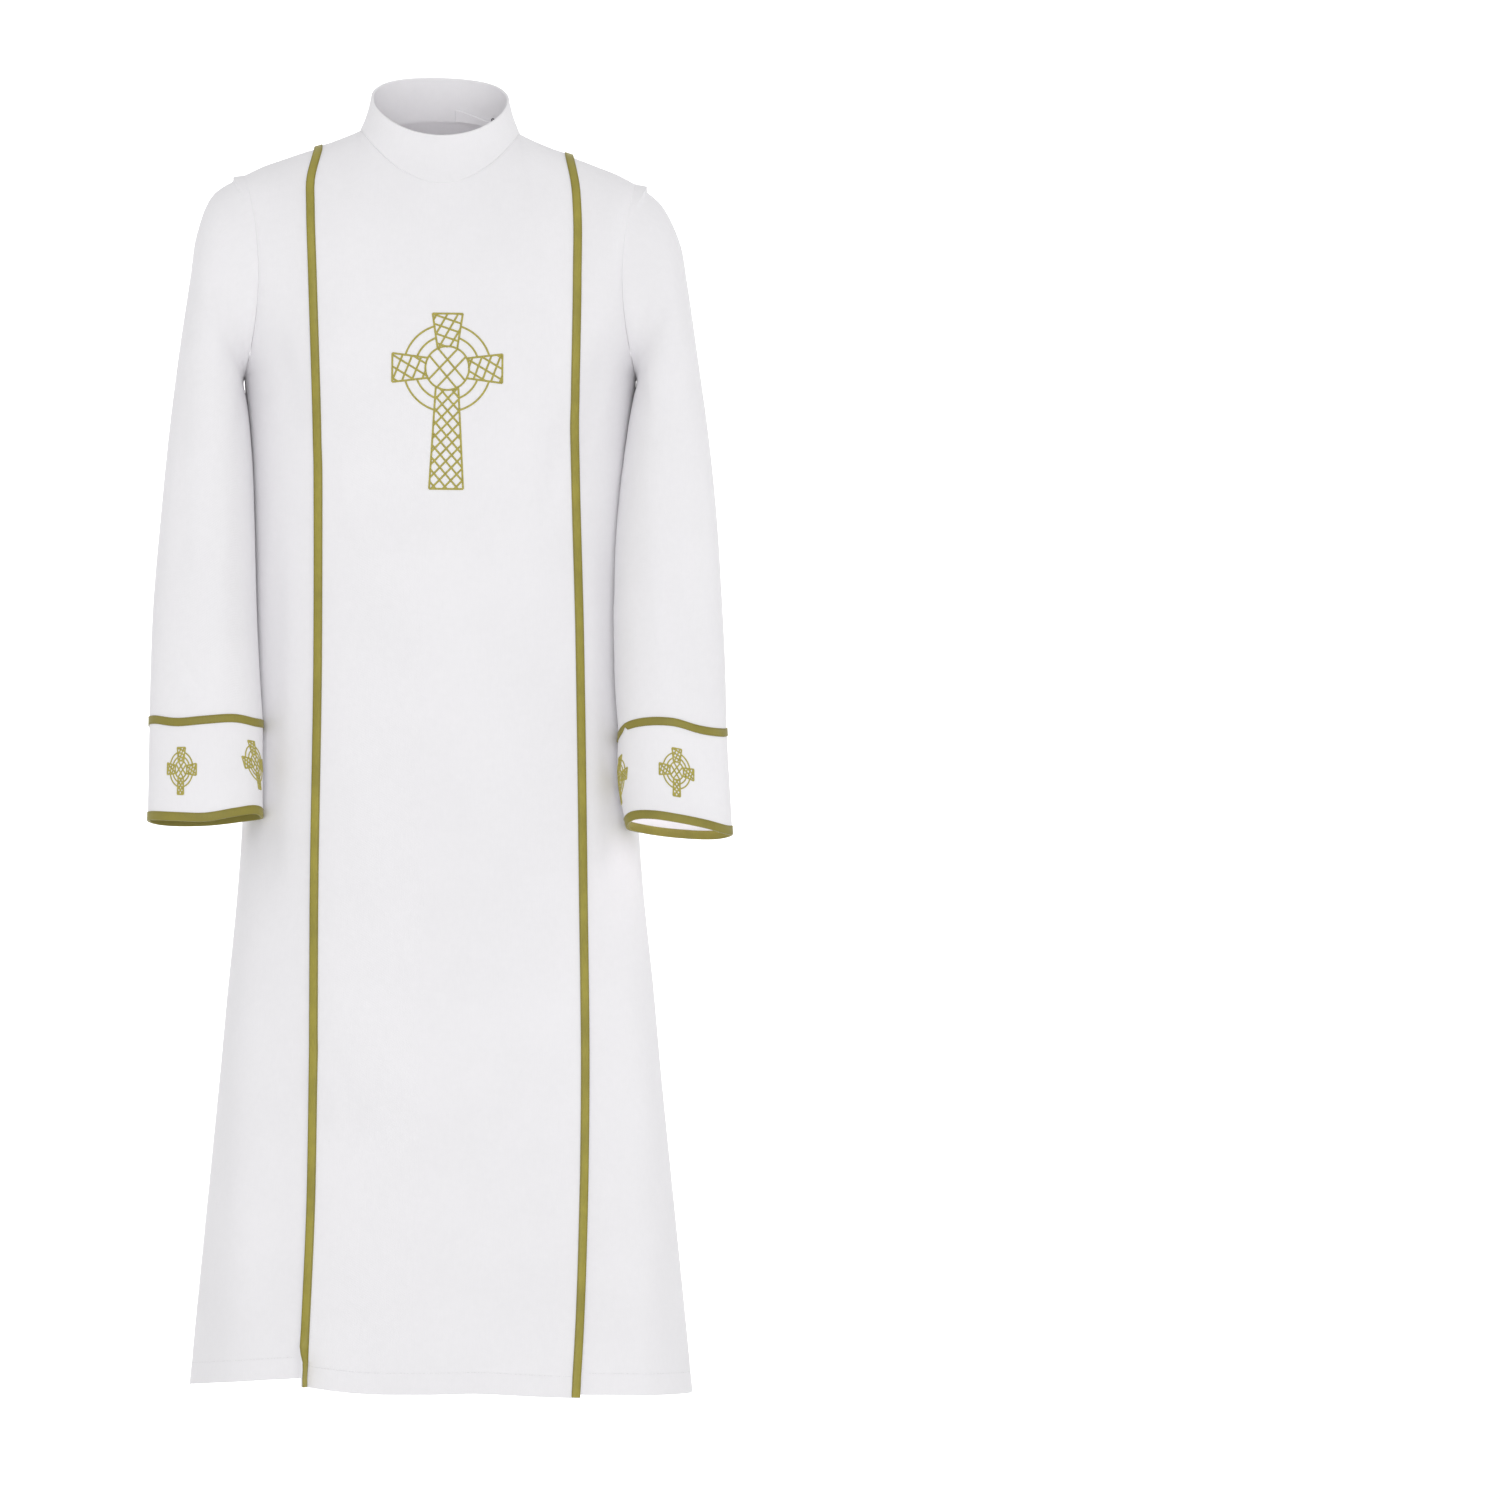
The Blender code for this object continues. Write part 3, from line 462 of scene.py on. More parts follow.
def wall(name, sheet, thickness, finish):
    """A thin closed shell on a sheet of points, with rounded edges."""
    rows, columns = sheet.rows, sheet.columns
    outer = sheet.outer
    inner = outer + sheet.inward * np.asarray(thickness)[..., None]
    layers = [outer.reshape(-1, 3), inner.reshape(-1, 3)]
    skin = rows * columns
    places = sheet.places()
    faces, uvs = [], []
    for row in range(rows - 1):
        for column in range(columns if sheet.closed else columns - 1):
            beside = (column + 1) % columns
            a, b = row * columns + column, row * columns + beside
            d, c = a + columns, b + columns
            corners = (
                places[row, column], places[row, column + 1],
                places[row + 1, column + 1], places[row + 1, column],
            )
            faces.append((a, d, c, b))
            uvs += [corners[0], corners[3], corners[2], corners[1]]
            faces.append((skin + a, skin + b, skin + c, skin + d))
            uvs += corners
    count = 2 * skin
    for loop in edge_loops(rows, columns, sheet.closed):
        on = np.array([(r, c) for r, c, _, _ in loop])
        inside = np.array([(r, c) for _, _, r, c in loop])
        away = unit(outer[on[:, 0], on[:, 1]] - outer[inside[:, 0], inside[:, 1]])
        depth = np.broadcast_to(thickness, (rows, columns))[on[:, 0], on[:, 1]][:, None]
        middle = (outer[on[:, 0], on[:, 1]] + inner[on[:, 0], on[:, 1]]) / 2
        layers.append(middle + away * depth * EDGE_ROUNDING)
        for place in range(len(loop)):
            after = (place + 1) % len(loop)
            a = on[place, 0] * columns + on[place, 1]
            b = on[after, 0] * columns + on[after, 1]
            m, n = count + place, count + after
            corners = [places[tuple(on[place])], places[tuple(on[after])]]
            faces += [(a, b, n, m), (m, n, skin + b, skin + a)]
            uvs += [corners[0], corners[1], corners[1], corners[0]] * 2
        count += len(loop)
    points = np.concatenate(layers)
    faces = [tuple(int(corner) for corner in face) for face in faces]
    return add_object(name, points, faces, finish, uvs)


def dress(name, made):
    """Hides the solid that a piece of cloth stands for, and gives the piece back."""
    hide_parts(name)
    return made


def roll_over_shoulder(side, x, z):
    """0 on the shoulder line and 1 where the cloth has come round to the flat of the body."""
    outwards = np.minimum(x / SHOULDER_TIP, 1)
    reach = ROLL_AT_NECK[side] + (ROLL_AT_ARM[side] - ROLL_AT_NECK[side]) * outwards
    drop = np.clip((SHOULDER.at("z", x) - z) / reach, 0, 1)
    return np.sqrt(1 - (1 - drop) ** 2)


def body_depth(side, x, z):
    """Distance of the cloth from the shoulder plane at a distance x from the middle."""
    across = np.clip(x / BODY.at("half_width", z), 0, 1)
    depth = BODY.at(SIDE_NAMES[side], z)
    flat = depth * (1 - across**SECTION_POWER) ** (1 / SECTION_POWER)
    return flat * roll_over_shoulder(side, x, z)


def angle_of(x, z):
    """Place round the section at a distance x from the middle: 0 at the side seam."""
    across = np.clip(x / BODY.at("half_width", z), 0, 1)
    return np.arccos(across ** (SECTION_POWER / 2))


def round_body(side, angle, z):
    """Point of the body's section, in a plane through the wearer's left half."""
    power = 2 / SECTION_POWER
    x = BODY.at("half_width", z) * np.cos(angle) ** power
    depth = BODY.at(SIDE_NAMES[side], z)
    y = side * depth * np.sin(angle) ** power * roll_over_shoulder(side, x, z)
    return x, y


def fold_lift(side, x, z):
    """How far the folds and creases lift the cloth off its smooth section."""
    lift = np.zeros_like(x)
    strength = bpy.context.scene.robe_cloth.crease_strength
    rows = [(*fold, 1) for fold in FOLDS] + [(*crease, strength) for crease in CREASES]
    for fold_side, x_top, z_top, x_low, z_low, width, height, share in rows:
        if fold_side != side:
            continue
        part = (z_top - z) / (z_top - z_low)
        middle = x_top + (x_low - x_top) * part
        ends = smooth_step(part * 4) * smooth_step((1 - part) * 4)
        lift += share * height * ends * np.exp(-(((x - middle) / width) ** 2))
    return lift


def with_folds(side, points):
    """The grid with its folds, moved level and square to the body's section."""
    x, y, z = points[..., 0], points[..., 1], points[..., 2]
    half_width = BODY.at("half_width", z)
    depth = BODY.at(SIDE_NAMES[side], z)
    slope_x = np.sign(x) * np.abs(x) ** (SECTION_POWER - 1) / half_width**SECTION_POWER
    slope_y = side * np.abs(y) ** (SECTION_POWER - 1) / depth**SECTION_POWER
    out = unit(np.stack([slope_x, slope_y, np.zeros_like(z)], axis=-1) + TINY)
    return points + out * fold_lift(side, x, z)[..., None]


def hem_height(side, x):
    """Height of a side panel's hem at a place across the robe."""
    return HEM.at(SIDE_NAMES[side], x)


def row_fractions():
    """Row places from a column's top to the underarm, close together over the shoulder."""
    turn = np.linspace(0, math.pi, ARM_ROWS + 1)
    return 0.4 * (1 - np.cos(turn)) / 2 + 0.6 * (1 - np.cos(turn / 2))


def column_heights(side, hand, top_z, hem_x):
    """Heights of a column's points from its top, past the underarm level, to the hem."""
    upper = top_z + (UNDERARM_Z - top_z) * row_fractions()
    hem = hem_height(side, hand * hem_x)
    lower = np.linspace(UNDERARM_Z, hem, SKIRT_ROWS + 1)[1:]
    return np.concatenate([upper, lower])


def panel_edge(side, hand, z):
    """Distance from the middle to the edge of the centre panel."""
    if side == BACK:
        return np.full_like(z, BACK_PANEL_HALF)
    return FRONT_EDGE.at(HAND_NAMES[hand], z)


def edge_column(side, hand, inset):
    """Column of points under the centre panel's edge, or a ribbon's width inside it."""
    top_x = panel_edge(side, hand, np.array(EDGE_TOP_Z)) - inset
    top_z = float(SHOULDER.at("z", top_x))
    hem_x = float(panel_edge(side, hand, np.array(hem_height(side, 0)))) - inset
    z = column_heights(side, hand, top_z, hem_x)
    x = panel_edge(side, hand, z) - inset
    x[0] = top_x
    y = side * body_depth(side, x, z)
    return np.stack([x, y, z], axis=-1)


def neck_point(side, part):
    """Point of the neckline: part 0 in the middle, 1 at the shoulder seam."""
    angle = math.pi / 2 * (1 - part)
    x = NECK_HALF_WIDTH * math.cos(angle)
    y = side * NECK_DEPTH[side] * math.sin(angle)
    z = NECK_HEIGHT[side] * math.sin(angle) ** NECK_CURVE[side]
    return x, y, z


def centre_half(side, hand):
    """Columns of half a centre panel, from the middle to its edge, for the wearer's left."""
    inner_edge = edge_column(side, hand, RIBBON_WIDTH)
    columns = []
    steps = np.arange(ARM_ROWS + SKIRT_ROWS + 1) / ARM_ROWS
    fade = (1 - steps).clip(0, 1) ** 3
    blend = smooth_step(steps)
    last = NECK_COLUMNS + SHOULDER_COLUMNS
    for column in range(last):
        if column <= NECK_COLUMNS:
            top_x, top_y, top_z = neck_point(side, column / NECK_COLUMNS)
        else:
            along = (column - NECK_COLUMNS) / SHOULDER_COLUMNS
            top_x = NECK_HALF_WIDTH + (inner_edge[0, 0] - NECK_HALF_WIDTH) * along
            top_y, top_z = 0.0, float(SHOULDER.at("z", top_x))
        share = column / last
        z = column_heights(side, hand, top_z, inner_edge[-1, 0] * share)
        low_x = panel_edge(side, hand, z) - RIBBON_WIDTH
        x = top_x + (low_x * share - top_x) * blend
        y = side * body_depth(side, x, z)
        y += (top_y - y[0]) * fade
        columns.append(np.stack([x, y, z], axis=-1))
    columns.append(inner_edge)
    columns.append(edge_column(side, hand, RIBBON_WIDTH / 2))
    columns.append(edge_column(side, hand, 0))
    return np.stack(columns, axis=1)


def proud(side, z):
    """How far the centre panel's outer skin stands off the side panels' outer skin."""
    part = smooth_step((UNDERARM_Z - z) / (UNDERARM_Z - hem_height(side, 0)))
    return PROUD_AT_TOP + (PROUD_AT_HEM[side] - PROUD_AT_TOP) * part


def shoulder_normals(x):
    """Directions square to the shoulder line, in the plane of its seam."""
    slope = (SHOULDER.at("z", np.abs(x) + STEP) - SHOULDER.at("z", np.abs(x) - STEP)) / (2 * STEP)
    return unit(np.stack([-slope * np.sign(x), np.zeros_like(x), np.ones_like(x)], axis=-1))


def collar_normals(points):
    """Directions out of the collar at points of the neckline."""
    round_neck = np.stack(
        [points[..., 0] / NECK_HALF_WIDTH**2, points[..., 1] / NECK_DEPTH[BACK] ** 2], axis=-1
    )
    level = unit(round_neck)
    return unit(np.concatenate([level, np.full((*level.shape[:-1], 1), COLLAR_LEAN)], axis=-1))


def hem_form(above):
    """How far the turned-up hem and the groove of its sewing lift the cloth."""
    turned = HEM_THICKER * smooth_step((HEM_HEIGHT - above) / HEM_GROOVE_WIDTH)
    groove = HEM_GROOVE * np.exp(-(((above - HEM_HEIGHT) / HEM_GROOVE_WIDTH) ** 2))
    return turned - groove


def centre_panel_grid(side):
    """Outer points and inward directions of the front or back centre panel."""
    left = centre_half(side, LEFT)
    right = centre_half(side, RIGHT)
    right[..., 0] *= -1
    base = np.concatenate([right[:, :0:-1], left], axis=1)
    base = with_folds(side, base)
    base[0, np.abs(base[0, :, 0]) > NECK_HALF_WIDTH - TINY, 1] = 0
    last = base[-1:].copy()
    last[..., 2] = HEM.at(f"{SIDE_NAMES[side]}_centre", last[..., 0])
    base = np.concatenate([base, last])
    normals = grid_normals(base, closed=False) * side
    on_neck = np.abs(base[0, :, 0]) < NECK_HALF_WIDTH + TINY
    normals[0, ~on_neck] = shoulder_normals(base[0, ~on_neck, 0])
    at_corner = np.isclose(np.abs(base[0, :, 0]), NECK_HALF_WIDTH)
    normals[0, at_corner] = shoulder_normals(base[0, at_corner, 0])
    above = np.linalg.norm(base - base[-1:], axis=-1)
    outer = base + normals * (proud(side, base[..., 2]) + hem_form(above))[..., None]
    outer[0, np.abs(outer[0, :, 0]) > NECK_HALF_WIDTH - TINY, 1] += side * SEAM / 2
    inward = -normals
    inward[0, on_neck] = -unit(normals[0, on_neck] + collar_normals(base[0, on_neck]))
    inward[0, at_corner, 1] = 0
    inward[0] = unit(inward[0])
    if side == FRONT:
        curl_edge(outer, inward, above)
    return outer, inward


def curl_edge(outer, inward, above):
    """Curls the front panel's first columns forward, near the hem."""
    full, none = CURL_FADES
    edge = unit(outer[:, 0] - outer[:, 2])
    out = -inward[:, 2].copy()
    for column, share in enumerate(CURL_SHARES):
        turn = CURL * share * smooth_step((none - above[:, column]) / (none - full))[:, None]
        off = np.linalg.norm(outer[:, column] - outer[:, 2], axis=-1)[:, None]
        outer[:, column] = outer[:, 2] + off * (edge * np.cos(turn) + out * np.sin(turn))
        inward[:, column] = unit(
            inward[:, column] * np.cos(turn) + edge * np.sin(turn)
        )


def centre_sheet(side):
    """Sheet of the front or back panel."""
    outer, inward = centre_panel_grid(side)
    if side == BACK:
        outer, inward = outer[:, ::-1], inward[:, ::-1]
    return Sheet(outer, inward)


def armhole_point(side, row):
    """Point of the armhole seam: row 0 at the shoulder, ARM_ROWS at the underarm."""
    angle = math.pi * row / ARM_ROWS
    tip_z = float(SHOULDER.at("z", SHOULDER_TIP))
    middle, half = (tip_z + UNDERARM_Z) / 2, (tip_z - UNDERARM_Z) / 2
    part = (1 - math.cos(angle)) / 2
    x = SHOULDER_TIP + (UNDERARM_X - SHOULDER_TIP) * part
    x -= ARMHOLE_BOW[side] * math.sin(angle) ** 2
    return np.array([x, side * ARMHOLE_REACH[side] * math.sin(angle), middle + half * math.cos(angle)])


def armhole_inward(side, row, outwards):
    """Direction of the cut edge at the armhole, bent off the seam at the underarm."""
    angle = math.pi * row / ARM_ROWS
    bend = ((1 - math.cos(angle)) / 2) ** 3
    return unit(np.array([outwards * bend, -side * math.sin(angle), -math.cos(angle)]))


def side_panel_grid(side, hand):
    """Outer points and inward directions of a side panel."""
    tuck = edge_column(side, hand, RIBBON_WIDTH)
    edge = edge_column(side, hand, 0)
    rows = ARM_ROWS + SKIRT_ROWS + 1
    shares = np.linspace(0, 1, SIDE_COLUMNS + 1)
    grid = np.empty((rows, SIDE_COLUMNS + 1, 3))
    side_hem = float(hem_height(side, hand * SIDE_SEAM_HEM_X))
    side_z = np.linspace(UNDERARM_Z, side_hem, SKIRT_ROWS + 1)
    top_z = edge[0, 2] + (float(SHOULDER.at("z", SHOULDER_TIP)) - edge[0, 2]) * shares
    for row in range(rows):
        start_x, start_z = edge[row, 0], edge[row, 2]
        start_angle = angle_of(start_x, start_z)
        if row <= ARM_ROWS:
            end = armhole_point(side, row)
            end_angle = angle_of(end[0], end[2]) if row < ARM_ROWS else 0.0
        else:
            end = np.array([0, 0, side_z[row - ARM_ROWS]])
            end_angle = 0.0
        angle = start_angle + (end_angle - start_angle) * shares
        z = start_z + (end[2] - start_z) * shares
        if row < ARM_ROWS:
            ridge_x, _ = round_body(side, angle, z)
            z = z + (SHOULDER.at("z", ridge_x) - top_z) * (1 - row / ARM_ROWS) ** 6
        x, y = round_body(side, angle, z)
        if row <= ARM_ROWS:
            x = x + (end[0] - x[-1]) * smooth_step(shares)
            y = y + (end[1] - y[-1]) * smooth_step(shares)
        grid[row] = np.stack([x, y, z], axis=-1)
    grid[0, :, 2] = SHOULDER.at("z", grid[0, :, 0])
    grid[:, 0] = edge
    grid = np.concatenate([tuck[:, None], grid], axis=1)
    grid[..., 0] *= hand
    grid[ARM_ROWS:, -1, 1] = 0
    fade = smooth_step((1 - np.concatenate([[0], shares])) / SEAM_FADE)[None, :, None]
    inner = grid + (with_folds(side, grid) - grid) * fade
    inner[ARM_ROWS:, -1, 1] = 0
    inner[0, :, 1] = 0
    normals = grid_normals(inner, closed=False) * side * hand
    normals[0] = shoulder_normals(inner[0, :, 0])
    above = np.linalg.norm(inner - inner[-1:], axis=-1)
    inner = inner + normals * np.minimum(hem_form(above), 0)[..., None]
    inward = -normals
    inward[ARM_ROWS:, -1] = (-hand, 0, 0)
    for row in range(ARM_ROWS + 1):
        cut = armhole_inward(side, row, -1)
        inward[row, -1] = cut * (hand, 1, 1)
    inner[0, :, 1] = side * SEAM / 2
    inner[ARM_ROWS:, -1, 1] = side * SEAM / 2
    return inner, inward


def side_sheet(side, hand):
    """Sheet of a side panel."""
    outer, inward = side_panel_grid(side, hand)
    if side * hand == 1:
        outer, inward = outer[:, ::-1], inward[:, ::-1]
    return Sheet(outer, inward)


def ring_angles():
    """Places round a sleeve: 0 outermost, a quarter turn at the front, half a turn inside."""
    return np.linspace(0, 2 * math.pi, 2 * ARM_ROWS, endpoint=False)


def ring(out_point, in_point, middle_y, half_depth, tilt):
    """Oval ring between its outermost and innermost points, its front tilted up."""
    angles = ring_angles()
    out_x, out_z = out_point
    in_x, in_z = in_point
    x = (out_x + in_x) / 2 + (out_x - in_x) / 2 * np.cos(angles)
    z = (out_z + in_z) / 2 + (out_z - in_z) / 2 * np.cos(angles)
    forward = half_depth * np.sin(angles)
    return np.stack([x, middle_y - forward, z + tilt * forward], axis=-1)


def armhole_ring():
    """The armhole's points in the order of a sleeve's ring, for the wearer's left."""
    front = [armhole_point(FRONT, row) for row in range(ARM_ROWS + 1)]
    back = [armhole_point(BACK, row) for row in range(ARM_ROWS - 1, 0, -1)]
    return np.array(front + back) + (SEAM, 0, 0)


def clear_of_body(points, clearance):
    """Moves a sleeve's points out to where they just clear the body."""
    x, y, z = points[..., 0], points[..., 1], points[..., 2]
    depth = np.where(y < 0, BODY.at("front", z), BODY.at("back", z))
    within = np.clip(np.abs(y) / depth, 0, 1) ** SECTION_POWER
    body_x = BODY.at("half_width", z) * (1 - within) ** (1 / SECTION_POWER)
    moved = points.copy()
    moved[..., 0] = np.maximum(x, body_x + clearance)
    return moved


def crease_sleeve(hand, grid, steps):
    """The sleeve's rings with the creases of its table."""
    out = grid_normals(grid, closed=True)
    angles = ring_angles()[None, :]
    places = np.asarray(steps, float)[:, None]
    lift = np.zeros(grid.shape[:2])
    for crease_hand, angle_a, step_a, angle_b, step_b, width, height in SLEEVE_CREASES:
        if crease_hand != hand:
            continue
        part = (places - step_a) / (step_b - step_a)
        middle = angle_a + (angle_b - angle_a) * part
        ends = smooth_step(part * 3) * smooth_step((1 - part) * 3)
        lift += height * ends * np.exp(-(((angles - middle) / width) ** 2))
    lift *= bpy.context.scene.robe_cloth.crease_strength * smooth_step(places / 0.8)
    return grid + out * lift[..., None]


def sleeve_grid(hand):
    """Rings of a sleeve from the armhole to the cuff, for the wearer's left."""
    name = HAND_NAMES[hand]
    last = SLEEVE.places[-1]
    steps = np.linspace(0, last, int(last) * RINGS_PER_STATION + 1)
    start = armhole_ring()
    wave = CUFF_WAVES.at(f"{name}_top", ring_angles())
    rings = []
    for step in steps:
        made = ring(
            (SLEEVE.at(f"{name}_out", step), SLEEVE.at("out_z", step)),
            (SLEEVE.at(f"{name}_in", step), SLEEVE.at("in_z", step)),
            SLEEVE.at(f"{name}_y", step),
            SLEEVE.at("half_depth", step),
            CUFF_TILT[hand] * smooth_step((step - TILT_FROM_STEP) / (last - TILT_FROM_STEP)),
        )
        if step == 0:
            from_ring = start - made
        made = made + from_ring * (1 - smooth_step(step / ARMHOLE_BLEND_STEPS))
        made[:, 2] += wave * smooth_step((step - last + 2) / 2)
        if step > 0:
            made = clear_of_body(made, SLEEVE_CLEARANCE * min(step, 1))
        rings.append(made)
    return crease_sleeve(hand, np.array(rings), steps)


def cuff_grid(hand):
    """Rings of a cuff, from the sleeve's last ring to its open end, for the wearer's left."""
    first = sleeve_grid(hand)[-1]
    end = CUFF_END[hand]
    last = ring(end["out"], end["in"], end["middle_y"], CUFF_HALF_DEPTH, end["tilt"])
    last[:, 2] += CUFF_WAVES.at(f"{HAND_NAMES[hand]}_end", ring_angles())
    shares = np.linspace(0, 1, CUFF_RINGS + 1)[:, None, None]
    grid = first + (last - first) * shares
    inner_side = np.clip(-np.cos(ring_angles()), 0, 1) ** 2
    grid[..., 0] -= CUFF_BULGE[hand] * np.sin(shares[..., 0] * math.pi) * inner_side
    along = unit(last - first)
    grid[0] += along * SEAM
    return grid


def for_hand(grid, inward, hand):
    """A tube's rings, made for the wearer's left, mirrored for the right."""
    mirror = np.array([hand, 1, 1])
    outer, inward = grid * mirror, inward * mirror
    if hand == LEFT:
        outer, inward = outer[:, ::-1], inward[:, ::-1]
    return Sheet(outer, inward, closed=True)


def sleeve_sheet(hand):
    """Sheet of a sleeve, its first ring cut square to the armhole."""
    grid = sleeve_grid(hand)
    inward = -grid_normals(grid, closed=True)
    for column in range(2 * ARM_ROWS):
        side = FRONT if column <= ARM_ROWS else BACK
        row = column if column <= ARM_ROWS else 2 * ARM_ROWS - column
        inward[0, column] = armhole_inward(side, row, 1)
    return for_hand(grid, inward, hand)


def cuff_sheet(hand):
    """Sheet of a cuff, its first ring cut as the sleeve's last."""
    grid = cuff_grid(hand)
    inward = -grid_normals(grid, closed=True)
    inward[0] = -grid_normals(sleeve_grid(hand), closed=True)[-1]
    return for_hand(grid, inward, hand)


def collar_rim(angle):
    """Point of the collar's upper edge: angle 0 at the wearer's left, a quarter turn behind."""
    x = RIM_HALF_WIDTH * np.cos(angle)
    y = RIM_DEPTH * np.sin(angle)
    z = RIM_MIDDLE + RIM_TILT * np.sin(angle) + RIM_SIDE_RISE * np.cos(angle) ** 2
    return np.stack([x, y, z], axis=-1)


def neckline():
    """The panels' neck edge as a loop, from the wearer's left round behind, and its cut."""
    loop, cut = [], []
    for side, order in ((BACK, -1), (FRONT, 1)):
        outer, inward = centre_panel_grid(side)
        middle = outer.shape[1] // 2
        row = slice(middle - NECK_COLUMNS, middle + NECK_COLUMNS + 1)
        points, directions = outer[0, row][::order], inward[0, row][::order]
        points[[0, -1], 1] = 0
        loop += list(points[:-1])
        cut += list(directions[:-1])
    return np.array(loop), np.array(cut)


def collar_grid():
    """Rings of the collar from its rim down to the neckline."""
    base, cut = neckline()
    angles = np.arctan2(base[:, 1] / RIM_DEPTH, base[:, 0] / RIM_HALF_WIDTH)
    rim = collar_rim(angles)
    up = unit(rim - base)
    base = base + up * COLLAR_LIFT
    shares = np.linspace(0, 1, COLLAR_RINGS + 1)[:, None, None]
    grid = rim + (base - rim) * shares
    out = unit(grid * (1, 1, 0))
    grid = grid - out * COLLAR_HOLLOW * np.sin(shares * math.pi)
    return grid, cut


def collar_sheet():
    """Sheet of the collar, its last ring cut as the panels' neck edge."""
    grid, cut = collar_grid()
    inward = grid_normals(grid, closed=True)
    inward[-1] = cut
    return Sheet(grid, inward, closed=True)


def underlap_sheet():
    """End of the collar band that passes inside the other at the wearer's left."""
    angles = np.linspace(UNDERLAP_FROM, UNDERLAP_TO, UNDERLAP_COLUMNS + 1)
    grid, _ = collar_grid()
    inward = grid_normals(grid, closed=True)
    grid = grid + inward * (COLLAR_CLOTH + 2 * SEAM)
    round_neck = np.arctan2(grid[0, :, 1] / RIM_DEPTH, grid[0, :, 0] / RIM_HALF_WIDTH)
    order = np.argsort(round_neck)
    places = round_neck[order]
    rows = []
    for level in np.linspace(0, 1, UNDERLAP_ROWS + 1):
        top = 1 - UNDERLAP_TOP.at("share", angles)
        at_ring = (top + (1 - UNDERLAP_BOTTOM - top) * level) * COLLAR_RINGS
        upper = np.minimum(at_ring.astype(int), COLLAR_RINGS - 1)
        part = (at_ring - upper)[:, None]
        found = np.empty((2, len(angles), 3))
        for column, angle in enumerate(angles):
            for which in (0, 1):
                line = grid[upper[column] + which, order]
                found[which, column] = [np.interp(angle, places, line[:, axis]) for axis in range(3)]
        rows.append(found[0] * (1 - part) + found[1] * part)
    strip = np.array(rows)
    return Sheet(strip, grid_normals(strip, closed=False))


class Wire:
    """A node socket that can be used in Python expressions: each operator adds a Math node."""

    def __init__(self, tree, socket=None):
        self.tree = tree
        self.socket = socket

    def node(self, kind, inputs=(), output=0, **settings):
        """One output of a new node of a type, with its settings and its sockets' values or links."""
        made = self.tree.nodes.new(kind)
        for name, value in settings.items():
            setattr(made, name, value)
        for place, value in dict(inputs).items():
            if isinstance(value, Wire):
                self.tree.links.new(value.socket, made.inputs[place])
            else:
                made.inputs[place].default_value = value
        return Wire(self.tree, made.outputs[output])

    def math(self, operation, *values):
        return self.node("ShaderNodeMath", enumerate(values), operation=operation)

    def __add__(self, other):
        return self.math("ADD", self, other)

    def __radd__(self, other):
        return self.math("ADD", other, self)

    def __mul__(self, other):
        return self.math("MULTIPLY", self, other)

    def __rmul__(self, other):
        return self.math("MULTIPLY", other, self)

    def sine(self):
        return self.math("SINE", self)

    def size(self):
        return self.math("ABSOLUTE", self)

    def over(self, low, high):
        """0 up to low and 1 from high on, with a smooth rise between."""
        sockets = {0: self, 1: low, 2: high, 3: 0.0, 4: 1.0}
        return self.node("ShaderNodeMapRange", sockets, interpolation_type="SMOOTHSTEP")

    def noise(self, place, scale, detail=2.0):
        """Soft noise from 0 to 1 at a place."""
        return self.node("ShaderNodeTexNoise", {"Vector": place, "Scale": scale, "Detail": detail})

    def colours(self, share, low, high):
        """A colour between two others."""
        sockets = {0: share, 6: (*low, 1.0), 7: (*high, 1.0)}
        return self.node("ShaderNodeMix", sockets, output=2, data_type="RGBA")

    def mixed(self, share, low, high):
        """A colour between two sockets."""
        return self.node("ShaderNodeMix", {0: share, 6: low, 7: high}, output=2, data_type="RGBA")


# Finishes: how the twill's ribs slant, its yarns as shares of a rib's turns, spacing of the
# ribbon's ribs, length of one turn of each thread, and the colours that no property holds
TWILL_SLANT = (0.82, 0.57)
YARN_TURNS = (1.9, 2.1)
RIBBON_RIB = 0.0007
EMBROIDERY_TWIST = 0.00055
SEWING_TWIST = 0.00040
PIPING_TWIST = 0.0008
PIPING_COLOUR = (0.93, 0.90, 0.91)
HOOK_COLOURS = ((0.10, 0.10, 0.11), (0.26, 0.26, 0.28))
PAPER_COLOURS = ((0.93, 0.93, 0.93), (0.97, 0.97, 0.97))


def finish_of(name, roughness, sheen, sheen_roughness=0.4, metallic=0.0):
    """A new material's shader, and a wire on its nodes, with what is the same all over set."""
    made = bpy.data.materials.new(name)
    made.use_nodes = True
    tree = made.node_tree
    shader = tree.nodes["Principled BSDF"]
    shader.inputs["Roughness"].default_value = roughness
    shader.inputs["Metallic"].default_value = metallic
    shader.inputs["Sheen Weight"].default_value = sheen
    shader.inputs["Sheen Roughness"].default_value = sheen_roughness
    return made, shader, Wire(tree)


def body_place(wire):
    """Place on the body, in metres."""
    return wire.node("ShaderNodeTexCoord", output=3)


def ribs(wave):
    """Ribs between 0 and 1, one for each full turn of a wave in radians."""
    return wave.sine() * 0.5 + 0.5


def streaks(wire, place, along, scale):
    """Noise drawn out along the cloth's threads."""
    stretched = wire.node("ShaderNodeMapping", {"Vector": place, "Scale": (1.0, along, 1.0)})
    return wire.noise(stretched, scale, 1.0)


def cloth_place(wire):
    """Distances across and down the cloth, in metres, and both as a vector."""
    place = wire.node("ShaderNodeUVMap", uv_map="cloth")
    apart = {"Vector": place}
    across = wire.node("ShaderNodeSeparateXYZ", apart, output=0)
    down = wire.node("ShaderNodeSeparateXYZ", apart, output=1)
    return across, down, place


def join(wire, value, shader, socket):
    """Links a value to one of the shader's sockets."""
    wire.tree.links.new(value.socket, shader.inputs[socket])


